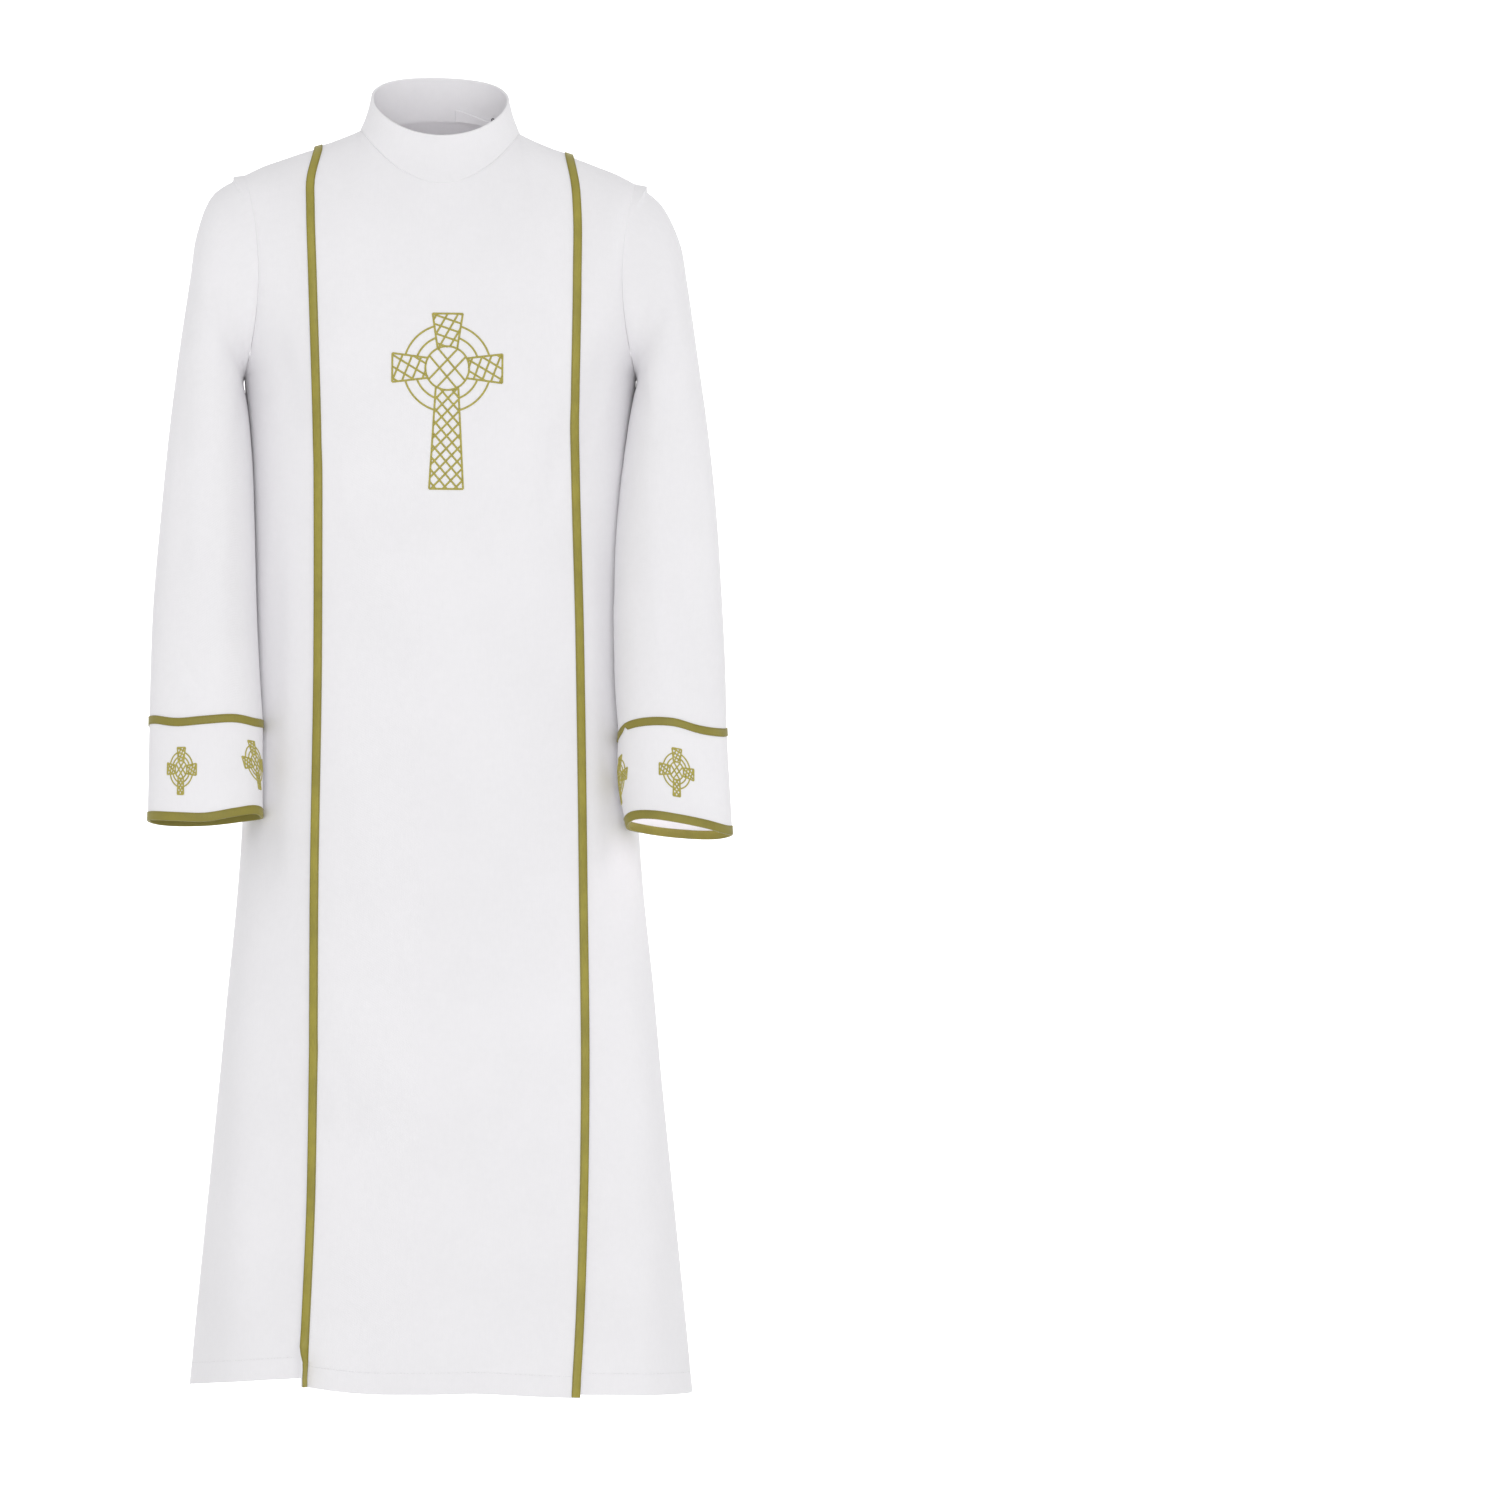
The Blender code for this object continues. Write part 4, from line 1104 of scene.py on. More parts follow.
def bump(wire, height, strength, distance, shader):
    """Links fine relief to the shader."""
    sockets = {"Height": height, "Strength": strength, "Distance": distance}
    join(wire, wire.node("ShaderNodeBump", sockets), shader, "Normal")


def shaded(colour, share):
    """A colour made darker or lighter."""
    return tuple(channel * share for channel in colour)


def white_cloth_finish():
    """Fine twill: slanting ribs, uneven yarns, and a faint cloudiness in its whiteness."""
    name = "white_cloth_weave"
    if name in bpy.data.materials:
        return bpy.data.materials[name]
    cloth = bpy.context.scene.robe_cloth
    colour = tuple(cloth.colour)
    made, shader, wire = finish_of(name, 0.74, 0.12)
    across, down, place = cloth_place(wire)
    turns = 2 * math.pi / cloth.rib_spacing
    rib = ribs((across * TWILL_SLANT[0] + down * TWILL_SLANT[1]) * turns)
    warp, weft = ((way * (turns * share)).sine() for way, share in zip((across, down), YARN_TURNS))
    yarn = warp * 0.25 + weft * 0.25 + 0.5
    slub = streaks(wire, place, 0.06, 900.0)
    body = body_place(wire)
    cloud = wire.noise(body, 9.0, 3.0)
    fine = wire.noise(body, 160.0, 2.0)
    height = rib * 0.6 + yarn * 0.25 + slub * 0.35
    tone = (cloud * 0.55 + fine * 0.25 + slub * 0.2).over(0.25, 0.75)
    join(wire, wire.colours(tone, shaded(colour, 0.955), colour), shader, "Base Color")
    join(wire, 0.66 + cloud * 0.10 + rib * 0.08, shader, "Roughness")
    bump(wire, height, 0.30, 0.00025, shader)
    return made


def ribbon_finish():
    """Satin ribbon: fine ribs across it, darker woven edges and a soft shine."""
    name = "gold_ribbon_satin"
    if name in bpy.data.materials:
        return bpy.data.materials[name]
    trim = bpy.context.scene.robe_trim
    colour = tuple(trim.ribbon_colour)
    made, shader, wire = finish_of(name, 0.42, 0.08)
    across, down, place = cloth_place(wire)
    rib = ribs(down * (2 * math.pi / RIBBON_RIB))
    thread = streaks(wire, place, 0.05, 2600.0)
    edge = across.size().over(RIBBON_WIDTH * 0.36, RIBBON_WIDTH * 0.5)
    cloud = wire.noise(body_place(wire), 24.0, 3.0)
    tone = (cloud * 0.6 + thread * 0.4).over(0.30, 0.70)
    middle = wire.colours(tone, shaded(colour, 0.80), shaded(colour, 1.14))
    border = wire.colours(tone, shaded(colour, 0.68), shaded(colour, 0.86))
    join(wire, wire.mixed(edge, middle, border), shader, "Base Color")
    join(wire, 0.36 + thread * 0.12 + edge * 0.10, shader, "Roughness")
    bump(wire, rib * 0.5 + thread * 0.5, 0.35, 0.0002, shader)
    return made


def thread_finish(name, colour, twist, roughness=0.45, painted_shade_highlight=(0.72, 1.18)):
    """Thread: its twist shows as slanting ribs, painted lighter on their crests and darker in their
    grooves, as painted highlight and painted shade.
    """
    if name in bpy.data.materials:
        return bpy.data.materials[name]
    made, shader, wire = finish_of(name, roughness, 0.06)
    across, down, _ = cloth_place(wire)
    strand = ribs((down + across * 0.5) * (2 * math.pi / twist))
    uneven = wire.noise(body_place(wire), 420.0, 2.0)
    # The ribs' colour is painted shade in their grooves and painted highlight on their crests, mixed with
    # the thread's uneven tone.
    tone = strand * 0.45 + uneven.over(0.3, 0.7) * 0.55
    # The two shares darken the colour for the painted shade in the grooves and lighten it for the painted
    # highlight on the crests.
    dark, light = (shaded(colour, shade) for shade in painted_shade_highlight)
    join(wire, wire.colours(tone, dark, light), shader, "Base Color")
    join(wire, roughness - 0.08 + uneven * 0.16, shader, "Roughness")
    bump(wire, strand, 0.55, twist * 0.35, shader)
    return made


def gold_thread():
    """Shiny embroidery thread."""
    colour = tuple(bpy.context.scene.robe_trim.thread_colour)
    return thread_finish("gold_thread", colour, EMBROIDERY_TWIST)


def gold_sewing_thread():
    """Sewing thread of the ribbons, a little darker than they are."""
    colour = shaded(tuple(bpy.context.scene.robe_trim.ribbon_colour), 0.86)
    return thread_finish("gold_sewing_thread", colour, SEWING_TWIST)


def white_thread():
    """Sewing thread of the white cloth."""
    colour = shaded(tuple(bpy.context.scene.robe_cloth.colour), 0.97)
    return thread_finish("white_thread", colour, SEWING_TWIST)


def piping_finish():
    """White satin over the piping's cord."""
    # The twist's painted shade and painted highlight are kept faint on the piping.
    return thread_finish("white_piping_satin", PIPING_COLOUR, PIPING_TWIST, 0.5, (0.97, 1.03))


def hook_finish():
    """Dull dark metal of the collar's hook."""
    made, shader, wire = finish_of("hook_metal", 0.4, 0.0, metallic=1.0)
    worn = wire.noise(body_place(wire), 700.0, 3.0).over(0.35, 0.65)
    join(wire, wire.colours(worn, *HOOK_COLOURS), shader, "Base Color")
    join(wire, 0.30 + worn * 0.25, shader, "Roughness")
    return made


def backdrop_finish():
    """Matt white paper of the floor and backdrop, with a faint grain."""
    made, shader, wire = finish_of("backdrop_paper", 0.9, 0.0)
    grain = wire.noise(body_place(wire), 35.0, 4.0)
    join(wire, wire.colours(grain, *PAPER_COLOURS), shader, "Base Color")
    join(wire, 0.85 + grain * 0.1, shader, "Roughness")
    return made


# Sections of a laid thread, a round cord and a stitch: places across and up from the cloth, in
# halves of the width
THREAD_SECTION = (
    (-1.00, 0.00),
    (-0.80, 0.45),
    (-0.35, 0.72),
    (0.35, 0.72),
    (0.80, 0.45),
    (1.00, 0.00),
    (0.60, -0.30),
    (-0.60, -0.30),
)
ROUND_SECTION = tuple(
    (math.cos(math.pi / 4 * corner), math.sin(math.pi / 4 * corner)) for corner in range(4, -4, -1)
)
STITCH_SECTION = ((-1.0, 0.0), (-0.5, 0.8), (0.5, 0.8), (1.0, 0.0), (0.5, -0.7), (-0.5, -0.7))

# How far embroidered lines lie off the cloth
THREAD_LIFT = 0.0001

# Stitches: half their thread's width, the gap after one as a share of its length, and the arch
# of one: places along it, and its heights there in halves of the thread's width
STITCH_HALF = 0.00022
STITCH_GAP = 0.22
STITCH_PLACES = (0.0, 0.12, 0.5, 0.88, 1.0)
STITCH_ARCH = (-0.9, 0.3, 0.7, 0.3, -0.9)


def distances(line):
    """Distance of each point of a line from its start, along it."""
    return np.concatenate([[0], np.cumsum(np.linalg.norm(np.diff(line, axis=0), axis=1))])


def between(places, lengths, values):
    """Values along a line, at places given as distances from its start."""
    return np.stack([np.interp(places, lengths, column) for column in values.T], axis=-1)


def sweep(points, outs, half_width, section=THREAD_SECTION):
    """Points, faces and places on the cloth of a section swept along a line, with closed ends."""
    points = np.asarray(points, float)
    along = unit(np.gradient(points, axis=0))
    across = unit(np.cross(along, outs))
    shape = np.array(section) * half_width
    rings = (
        points[:, None]
        + across[:, None] * shape[None, :, :1]
        + np.asarray(outs)[:, None] * shape[None, :, 1:]
    )
    steps = distances(points)
    count, corners = rings.shape[:2]
    faces, uvs = [], []
    for row in range(count - 1):
        for corner in range(corners):
            beside = (corner + 1) % corners
            a, b = row * corners + corner, row * corners + beside
            faces.append((a, b, b + corners, a + corners))
            uvs += [
                (shape[corner, 0], steps[row]), (shape[beside, 0], steps[row]),
                (shape[beside, 0], steps[row + 1]), (shape[corner, 0], steps[row + 1]),
            ]
    first = tuple(range(corners))[::-1]
    last = tuple((count - 1) * corners + corner for corner in range(corners))
    faces += [first, last]
    for end, step in ((first, steps[0]), (last, steps[-1])):
        uvs += [(shape[corner % corners, 0], step) for corner in end]
    return rings.reshape(-1, 3), faces, uvs


def joined(name, parts, finish):
    """One mesh object from several swept lines."""
    points, faces, uvs, count = [], [], [], 0
    for part_points, part_faces, part_uvs in parts:
        points.append(part_points)
        faces += [tuple(int(corner) + count for corner in face) for face in part_faces]
        uvs += part_uvs
        count += len(part_points)
    return add_object(name, np.concatenate(points), faces, finish, uvs)


def trim(name, parts, finish, slot):
    """Threads or piping, as one piece with its material; the slot is not used."""
    made = joined(name, parts, finish)
    return made


# Sizes of the chest cross; the small crosses on the cuffs are the same cross, made smaller
CROSS_CENTRE = (0.0073, -0.2551)
CROSS_TURN = math.radians(-0.6)
CROSS_DISC = 0.0233
CROSS_RINGS = (0.0343, 0.0466)

# Arms: direction, end distance from the centre, half width at the disc and at the end, and the
# two sets of lattice lines in it: angle, spacing and how far they are off the arm's middle, in
# spacings
CROSS_ARMS = (
    (90, 0.0582, 0.0104, 0.0161, ((-18.5, 0.0094, 0.30), (60.5, 0.0098, -0.07))),
    (0, 0.0587, 0.0106, 0.0154, ((-30.5, 0.0100, -0.08), (70.0, 0.0091, -0.24))),
    (180, 0.0585, 0.0107, 0.0154, ((-31.0, 0.0106, 0.19), (68.5, 0.0096, 0.29))),
    (270, 0.1287, 0.0120, 0.0181, ((-49.5, 0.0090, 0.15), (46.5, 0.0090, 0.15))),
)

# The disc's lattice, the distance between a line's points, and the small crosses: their size and
# their thread's width as shares of the chest cross's, and their lower arm
DISC_LATTICE = ((-49.5, 0.0121, 0.5), (47.0, 0.0121, 0.5))
CROSS_STEP = 0.0022
SMALL_CROSS = 0.41
SMALL_LINE = 0.74
SMALL_LOWER_ARM = (270, 0.0660, 0.0104, 0.0122, ((-49.5, 0.0090, 0.15), (46.5, 0.0090, 0.15)))

# Small crosses: angle round the cuff, height above its open end, breadth as a share of the
# plain cross, how far its top leans outwards and, if other than 1, its tallness
CUFF_CROSSES = {
    LEFT: {
        "front": (1.575, 0.0545, 0.675, 0.05),
        "inner": (2.96, 0.053, 0.72, 0.22),
        "back": (5.25, 0.052, 0.86, 0.0),
    },
    RIGHT: {
        "front": (1.14, 0.052, 0.60, 0.0, 0.94),
        "inner": (2.66, 0.055, 0.74, 0.34),
        "back": (5.05, 0.052, 0.86, 0.0),
    },
}

# A line counts as parallel to an outline's side below this rate, and a piece of a line that is
# shorter than these shares of the line and of the spacing is left out
PARALLEL = 1e-12
SHORTEST_SHARE = 0.02
SHORTEST_PIECE = 0.4


def clip_to_convex(start, end, corners):
    """The part of a line inside a convex outline that runs anticlockwise, or None."""
    low, high = 0.0, 1.0
    way = end - start
    for a, b in zip(corners, np.roll(corners, -1, axis=0)):
        side = b - a
        normal = np.array([-side[1], side[0]])
        distance, rate = normal @ (start - a), normal @ way
        if abs(rate) < PARALLEL:
            if distance < 0:
                return None
            continue
        at = -distance / rate
        if rate > 0:
            low = max(low, at)
        else:
            high = min(high, at)
    if high - low < SHORTEST_SHARE:
        return None
    return start + way * low, start + way * high


def lattice(corners, sets, most=math.inf):
    """Evenly spaced straight lines inside a convex outline, as far off its middle as most."""
    middle = corners.mean(axis=0)
    reach = np.abs(corners - middle).max() * 2
    lines = []
    for angle, spacing, offset in sets:
        turn = math.radians(angle)
        way = np.array([math.cos(turn), math.sin(turn)])
        beside = np.array([-way[1], way[0]])
        count = int(min(reach, most) / spacing) + 1
        for step in range(-count, count + 1):
            off = (step + offset) * spacing
            at = middle + beside * off
            found = clip_to_convex(at - way * reach, at + way * reach, corners)
            if abs(off) > most or found is None:
                continue
            if np.linalg.norm(found[1] - found[0]) > spacing * SHORTEST_PIECE:
                lines.append(np.array(found))
    return lines


def arc(radius, start, end):
    """Points along a circle round the cross's centre, from one angle to another."""
    turns = np.linspace(start, end, max(int(abs(end - start) * radius / CROSS_STEP), 3) + 1)
    return np.stack([radius * np.cos(turns), radius * np.sin(turns)], axis=-1)


def arm_corners(direction, end, near_half, far_half):
    """Corners of a flared arm, anticlockwise, from the disc's edge to its end."""
    turn = math.radians(direction)
    way = np.array([math.cos(turn), math.sin(turn)])
    beside = np.array([-way[1], way[0]])
    near = math.sqrt(CROSS_DISC**2 - near_half**2)
    return np.array([
        way * near - beside * near_half,
        way * end - beside * far_half,
        way * end + beside * far_half,
        way * near + beside * near_half,
    ])


def outside_disc(line):
    """The part of a line from the disc's edge outwards, or None."""
    line = resample(line, CROSS_STEP / 4)
    kept = line[np.linalg.norm(line, axis=1) > CROSS_DISC - CROSS_STEP / 3]
    return kept if len(kept) > 4 else None


def cross_lines(arms):
    """Lines of a ringed cross with lattice filling, round its centre, in metres."""
    disc = arc(CROSS_DISC, 0, 2 * math.pi)
    lines = [disc, *lattice(disc[:-1], DISC_LATTICE, CROSS_DISC / 2)]
    widths = []
    for direction, end, near_half, far_half, sets in sorted(arms):
        corners = arm_corners(direction, end, near_half, far_half)
        sides = [corners[[0, 1]], corners[[1, 2]], corners[[2, 3]]]
        found = [outside_disc(line) for line in sides + lattice(corners, sets)]
        lines += [line for line in found if line is not None]
        spread = (far_half - near_half) / (end - CROSS_DISC)
        widths.append((direction, near_half, spread))
    for radius in CROSS_RINGS:
        for place, (direction, near_half, spread) in enumerate(widths):
            _, next_half, next_spread = widths[(place + 1) % len(widths)]
            gap = math.asin((near_half + spread * (radius - CROSS_DISC)) / radius)
            next_gap = math.asin((next_half + next_spread * (radius - CROSS_DISC)) / radius)
            start = math.radians(direction)
            lines.append(arc(radius, start + gap, start + math.pi / 2 - next_gap))
    cosine, sine = math.cos(CROSS_TURN), math.sin(CROSS_TURN)
    return [line @ np.array([[cosine, sine], [-sine, cosine]]) for line in lines]


def resample(line, step):
    """The line with points about a step apart."""
    lengths = distances(line)
    count = max(int(round(lengths[-1] / step)), 2)
    return between(np.linspace(0, lengths[-1], count + 1), lengths, line)


class FrontSurface:
    """The outer face of the front panel, found by looking at it from the front."""

    def __init__(self, sheet):
        rows, columns = sheet.rows, sheet.columns
        points = sheet.outer.reshape(-1, 3)
        corners = [
            (r * columns + c, (r + 1) * columns + c, (r + 1) * columns + c + 1, r * columns + c + 1)
            for r in range(rows - 1)
            for c in range(columns - 1)
        ]
        self.tree = BVHTree.FromPolygons([Vector(p) for p in points], corners)

    def at(self, x, z):
        """Point and outward direction at a place seen from the front."""
        spot, normal, _, _ = self.tree.ray_cast(Vector((x, FRONT, z)), Vector((0, 1, 0)))
        if spot is None:
            raise RuntimeError(f"no cloth of the front panel at x {x:.3f}, z {z:.3f}")
        if normal.y > 0:
            normal.negate()
        return np.array(spot), np.array(normal)


def chest_cross_threads():
    """The chest cross, laid on the front panel."""
    surface = FrontSurface(centre_sheet(FRONT))
    half = bpy.context.scene.robe_trim.cross_thread_width / 2
    parts = []
    for line in cross_lines(CROSS_ARMS):
        line = resample(line, CROSS_STEP)
        found = [surface.at(CROSS_CENTRE[0] + x, CROSS_CENTRE[1] + z) for x, z in line]
        points = np.array([spot for spot, _ in found])
        outs = unit(smoothed(np.array([normal for _, normal in found])))
        parts.append(sweep(points + outs * THREAD_LIFT, outs, half))
    return parts


def smoothed(vectors):
    """Vectors along a line, each averaged with its neighbours."""
    padded = np.concatenate([vectors[:1], vectors, vectors[-1:]])
    return (padded[:-2] + padded[1:-1] * 2 + padded[2:]) / 4


def cuff_cross_threads(hand, angle, height, breadth, lean_out, tallness=1.0):
    """A small cross on a cuff, round its tube at an angle and a height above its open end."""
    sheet = cuff_sheet(hand)
    girth = np.linalg.norm(np.diff(sheet.outer[sheet.rows // 2], axis=0), axis=1).sum()
    tall = sheet.heights().mean()
    half = bpy.context.scene.robe_trim.cross_thread_width * SMALL_LINE / 2
    middle = angle / (2 * math.pi) * sheet.columns
    if hand == LEFT:
        middle = sheet.columns - 1 - middle
    parts = []
    for line in cross_lines((*CROSS_ARMS[:3], SMALL_LOWER_ARM)):
        line = resample(line * SMALL_CROSS, CROSS_STEP / 2)
        across = line[:, 0] * breadth + line[:, 1] * lean_out * hand
        column = middle + across / girth * sheet.columns
        row = (1 - (height + line[:, 1] * tallness) / tall) * (sheet.rows - 1)
        points, outs = sheet.at(row, column)
        parts.append(sweep(points + outs * THREAD_LIFT, outs, half))
    return parts


def stitches(points, outs, length):
    """Short threads laid end to end along a line."""
    gap = length * STITCH_GAP
    lengths = distances(points)
    parts = []
    start = gap
    while start + length < lengths[-1]:
        places = start + length * np.array(STITCH_PLACES)
        line = between(places, lengths, points)
        out = unit(between(places, lengths, outs))
        rise = STITCH_HALF * np.array(STITCH_ARCH)[:, None]
        parts.append(sweep(line + out * rise, out, STITCH_HALF, STITCH_SECTION))
        start += length + gap
    return parts


def hem_rows(sheet, above):
    """Fractional rows of a sheet that lie a height above its last row, one for each column."""
    falls = np.linalg.norm(sheet.outer - sheet.outer[-1:], axis=-1)
    rows = np.arange(sheet.rows)
    return np.array([np.interp(-above, -falls[:, c], rows) for c in range(sheet.columns)])


# Height of a ribbon's face over its width, as a share of its thickness
RIBBON_CROWN = ((0.0, 0.45), (0.06, 0.95), (0.5, 1.0), (0.94, 0.95), (1.0, 0.45))

# Where the ribbon round a cuff's top is pinched by a fold: angle, width and share of its width
RIBBON_PINCH = {LEFT: (2.66, 0.06, 0.55), RIGHT: (3.30, 0.20, 0.2)}


def ribbon_strip(upper, lower, upper_out, lower_out, closed):
    """Sheet of a ribbon between two lines on the cloth, its ends or rings running along."""
    rows, directions = [], []
    for share, height in RIBBON_CROWN:
        out = unit(upper_out * (1 - share) + lower_out * share)
        rows.append(upper + (lower - upper) * share + out * (SEAM + RIBBON * height))
        directions.append(-out)
    return Sheet(np.array(rows), np.array(directions), closed, leaning=True)


# Binding: shares of its height over which its woven edges and its fold round off, how far out and
# down the fold's corners lie as shares of the binding's distance from the cloth, and the shares of
# its thickness that its edges keep off the cloth and that its wall has
BINDING_EDGE, BINDING_FOLD = 0.06, 0.04
CORNER_OUT, CORNER_DOWN = 0.8, 0.7
BINDING_REST = 0.3
BINDING_WALL = 0.6


def pinch(hand):
    """Share of its width that the ribbon loses at each column of the cuff."""
    angle, width, share = RIBBON_PINCH[hand]
    angles = ring_angles()
    if hand == LEFT:
        angles = angles[::-1]
    return share * np.exp(-(((angles - angle) / width) ** 2))


def cuff_ribbon(hand):
    """Sheet of the ribbon round a cuff's top."""
    sheet = cuff_sheet(hand)
    columns = np.arange(sheet.columns, dtype=float)
    top, top_out = sheet.at(np.zeros(sheet.columns), columns)
    width = RIBBON_WIDTH * (1 - pinch(hand))
    low, low_out = sheet.at(width / sheet.heights() * (sheet.rows - 1), columns)
    return ribbon_strip(top, low, top_out, low_out, closed=True)


def front_ribbon(hand):
    """Sheet of the ribbon on an edge of the front panel, its rows running down it."""
    sheet = centre_sheet(FRONT)
    upper, lower = (-3, -1) if hand == LEFT else (0, 2)
    strip = ribbon_strip(
        sheet.outer[:, upper], sheet.outer[:, lower],
        -sheet.inward[:, upper], -sheet.inward[:, lower], closed=False,
    )
    across = (1, 0, 2)
    return Sheet(strip.outer.transpose(across), strip.inward.transpose(across), leaning=True)


def ribbon_depth(sheet):
    """Thickness of a ribbon at each of its points: thin at its woven edges."""
    heights = np.array([height for _, height in RIBBON_CROWN]) * RIBBON
    return np.broadcast_to(heights[:, None] if sheet.closed else heights, (sheet.rows, sheet.columns))


def binding(name, sheet):
    """Ribbon folded round a cuff's open edge, so that it shows outside and inside."""
    columns = np.arange(sheet.columns, dtype=float)
    edge, out = sheet.at(np.full(sheet.columns, sheet.rows - 1.0), columns)
    top, top_out = sheet.at(sheet.row_above(BINDING_HEIGHT), columns)
    down = unit(edge - top)
    off = SEAM + BINDING
    faces = []
    for way, cloth in ((1, 0), (-1, CLOTH)):
        level = way * (cloth + off)
        faces.append([
            top + top_out * way * (cloth + SEAM + BINDING * BINDING_REST),
            top + down * BINDING_HEIGHT * BINDING_EDGE + top_out * level,
            (top + edge) / 2 + unit(top_out + out) * level,
            edge - down * BINDING_HEIGHT * BINDING_FOLD + out * level,
            edge + out * way * (cloth + off * CORNER_OUT) + down * off * CORNER_DOWN,
        ])
    outside, inside = faces
    rows = np.array([*outside, edge - out * CLOTH / 2 + down * off, *inside[::-1]])
    inward = grid_normals(rows, closed=True)
    if (inward[2] * out).sum() > 0:
        inward = -inward
    strip = Sheet(rows, inward, closed=True, leaning=True)
    return wall(name, strip, BINDING * BINDING_WALL, ribbon_finish())


# Sewing: rows of a ribbon's sheet where it is sewn down, height above the collar's seam, distance
# below a binding's upper edge, and how far round the collar it reaches from the wearer's sides
RIBBON_SEWING = (1.07, 2.93)
COLLAR_SEWING = 0.0097
BINDING_SEWING = 0.0010
COLLAR_SEWING_FROM = -0.2


def ribbon_sewing(sheet):
    """Lines along both edges of a ribbon's face."""
    lines = []
    for place in RIBBON_SEWING:
        if sheet.closed:
            columns = np.append(np.arange(sheet.columns), 0.0)
            lines.append(sheet.at(np.full(len(columns), place), columns))
        else:
            rows = np.arange(1, sheet.rows - 1, dtype=float)
            lines.append(sheet.at(rows, np.full(len(rows), place)))
    return lines


def binding_sewing(hand):
    """Line round the outer face of a cuff's binding, a little below its upper edge."""
    sheet = cuff_sheet(hand)
    columns = np.append(np.arange(sheet.columns), 0)
    rows = sheet.row_above(BINDING_HEIGHT - BINDING_SEWING)[columns]
    points, outs = sheet.at(rows, columns.astype(float))
    return points + outs * (SEAM + BINDING), outs


def hem_sewing(sheet):
    """Line of a panel's hem sewing, clear of its edges."""
    columns = np.arange(2, sheet.columns - 2)
    return sheet.at(hem_rows(sheet, HEM_HEIGHT)[2:-2], columns.astype(float))


def collar_sewing():
    """Line round the back of the collar, a little above its seam."""
    sheet = collar_sheet()
    round_neck = np.arctan2(sheet.outer[0, :, 1] / RIM_DEPTH, sheet.outer[0, :, 0] / RIM_HALF_WIDTH)
    columns = np.flatnonzero(round_neck > COLLAR_SEWING_FROM)
    columns = columns[np.argsort(round_neck[columns])]
    rows = hem_rows(sheet, COLLAR_SEWING)[columns]
    return sheet.at(rows, columns.astype(float))


def gold_lines():
    """Lines of all the gold sewing."""
    lines = []
    for hand in (LEFT, RIGHT):
        lines += ribbon_sewing(front_ribbon(hand)) + ribbon_sewing(cuff_ribbon(hand))
        lines.append(binding_sewing(hand))
    return lines


class RobeCloth(bpy.types.PropertyGroup):
    """Sizes and colours of the cloth."""

    colour: bpy.props.FloatVectorProperty(
        name="Cloth colour", description="Colour of the white cloth", subtype="COLOR",
        default=(0.865, 0.855, 0.875), min=0, max=1,
    )
    rib_spacing: bpy.props.FloatProperty(
        name="Rib spacing", description="Distance between the slanting ribs of the twill",
        default=0.0010, min=0.0004, max=0.005, unit="LENGTH", precision=5,
    )
    crease_strength: bpy.props.FloatProperty(
        name="Creases", description="Depth of the small creases, as a share of their usual depth",
        default=1.0, min=0.0, max=1.5, subtype="FACTOR",
    )


class RobeTrim(bpy.types.PropertyGroup):
    """Sizes and colours of the ribbons, threads and embroidery."""

    ribbon_colour: bpy.props.FloatVectorProperty(
        name="Ribbon colour", description="Colour of the gold ribbon", subtype="COLOR",
        default=(0.330, 0.283, 0.041), min=0, max=1,
    )
    thread_colour: bpy.props.FloatVectorProperty(
        name="Thread colour", description="Colour of the embroidery thread", subtype="COLOR",
        default=(0.455, 0.395, 0.080), min=0, max=1,
    )
    cross_thread_width: bpy.props.FloatProperty(
        name="Cross line width", description="Width of the embroidered lines of the chest cross",
        default=0.0021, min=0.0005, max=0.004, unit="LENGTH", precision=5,
    )
    stitch_length: bpy.props.FloatProperty(
        name="Stitch length", description="Length of one stitch of the sewing",
        default=0.0028, min=0.001, max=0.006, unit="LENGTH", precision=5,
    )


class RobeStudio(bpy.types.PropertyGroup):
    """Camera distance and light of the studio."""

    camera_distance: bpy.props.FloatProperty(
        name="Camera distance", description="Distance from the camera to the robe",
        default=10.0, min=4.0, max=40.0, unit="LENGTH",
    )
    light: bpy.props.FloatProperty(
        name="Light", description="Brightness of the studio's lights, as a share of their usual one",
        default=1.0, min=0.1, max=3.0, subtype="FACTOR",
    )


class ROBE_OT_panels(bpy.types.Operator):
    """Hang the front, back and side panels"""

    bl_idname = "robe.panels"
    bl_label = "Panels"

    def execute(self, context):
        for side in (FRONT, BACK):
            name = f"{SIDE_NAMES[side]}_panel"
            made = wall(f"{name}_cloth", centre_sheet(side), CLOTH, white_cloth_finish())
            dress(name, made)
            for hand in (LEFT, RIGHT):
                name = f"side_{SIDE_NAMES[side]}_{HAND_NAMES[hand]}"
                made = wall(f"{name}_cloth", side_sheet(side, hand), CLOTH, white_cloth_finish())
                dress(name, made)
        return {"FINISHED"}


class ROBE_OT_sleeves(bpy.types.Operator):
    """Hang the sleeves from the armholes"""

    bl_idname = "robe.sleeves"
    bl_label = "Sleeves"

    def execute(self, context):
        for hand in (LEFT, RIGHT):
            name = f"sleeve_{HAND_NAMES[hand]}"
            made = wall(f"{name}_cloth", sleeve_sheet(hand), CLOTH, white_cloth_finish())
            dress(name, made)
        return {"FINISHED"}


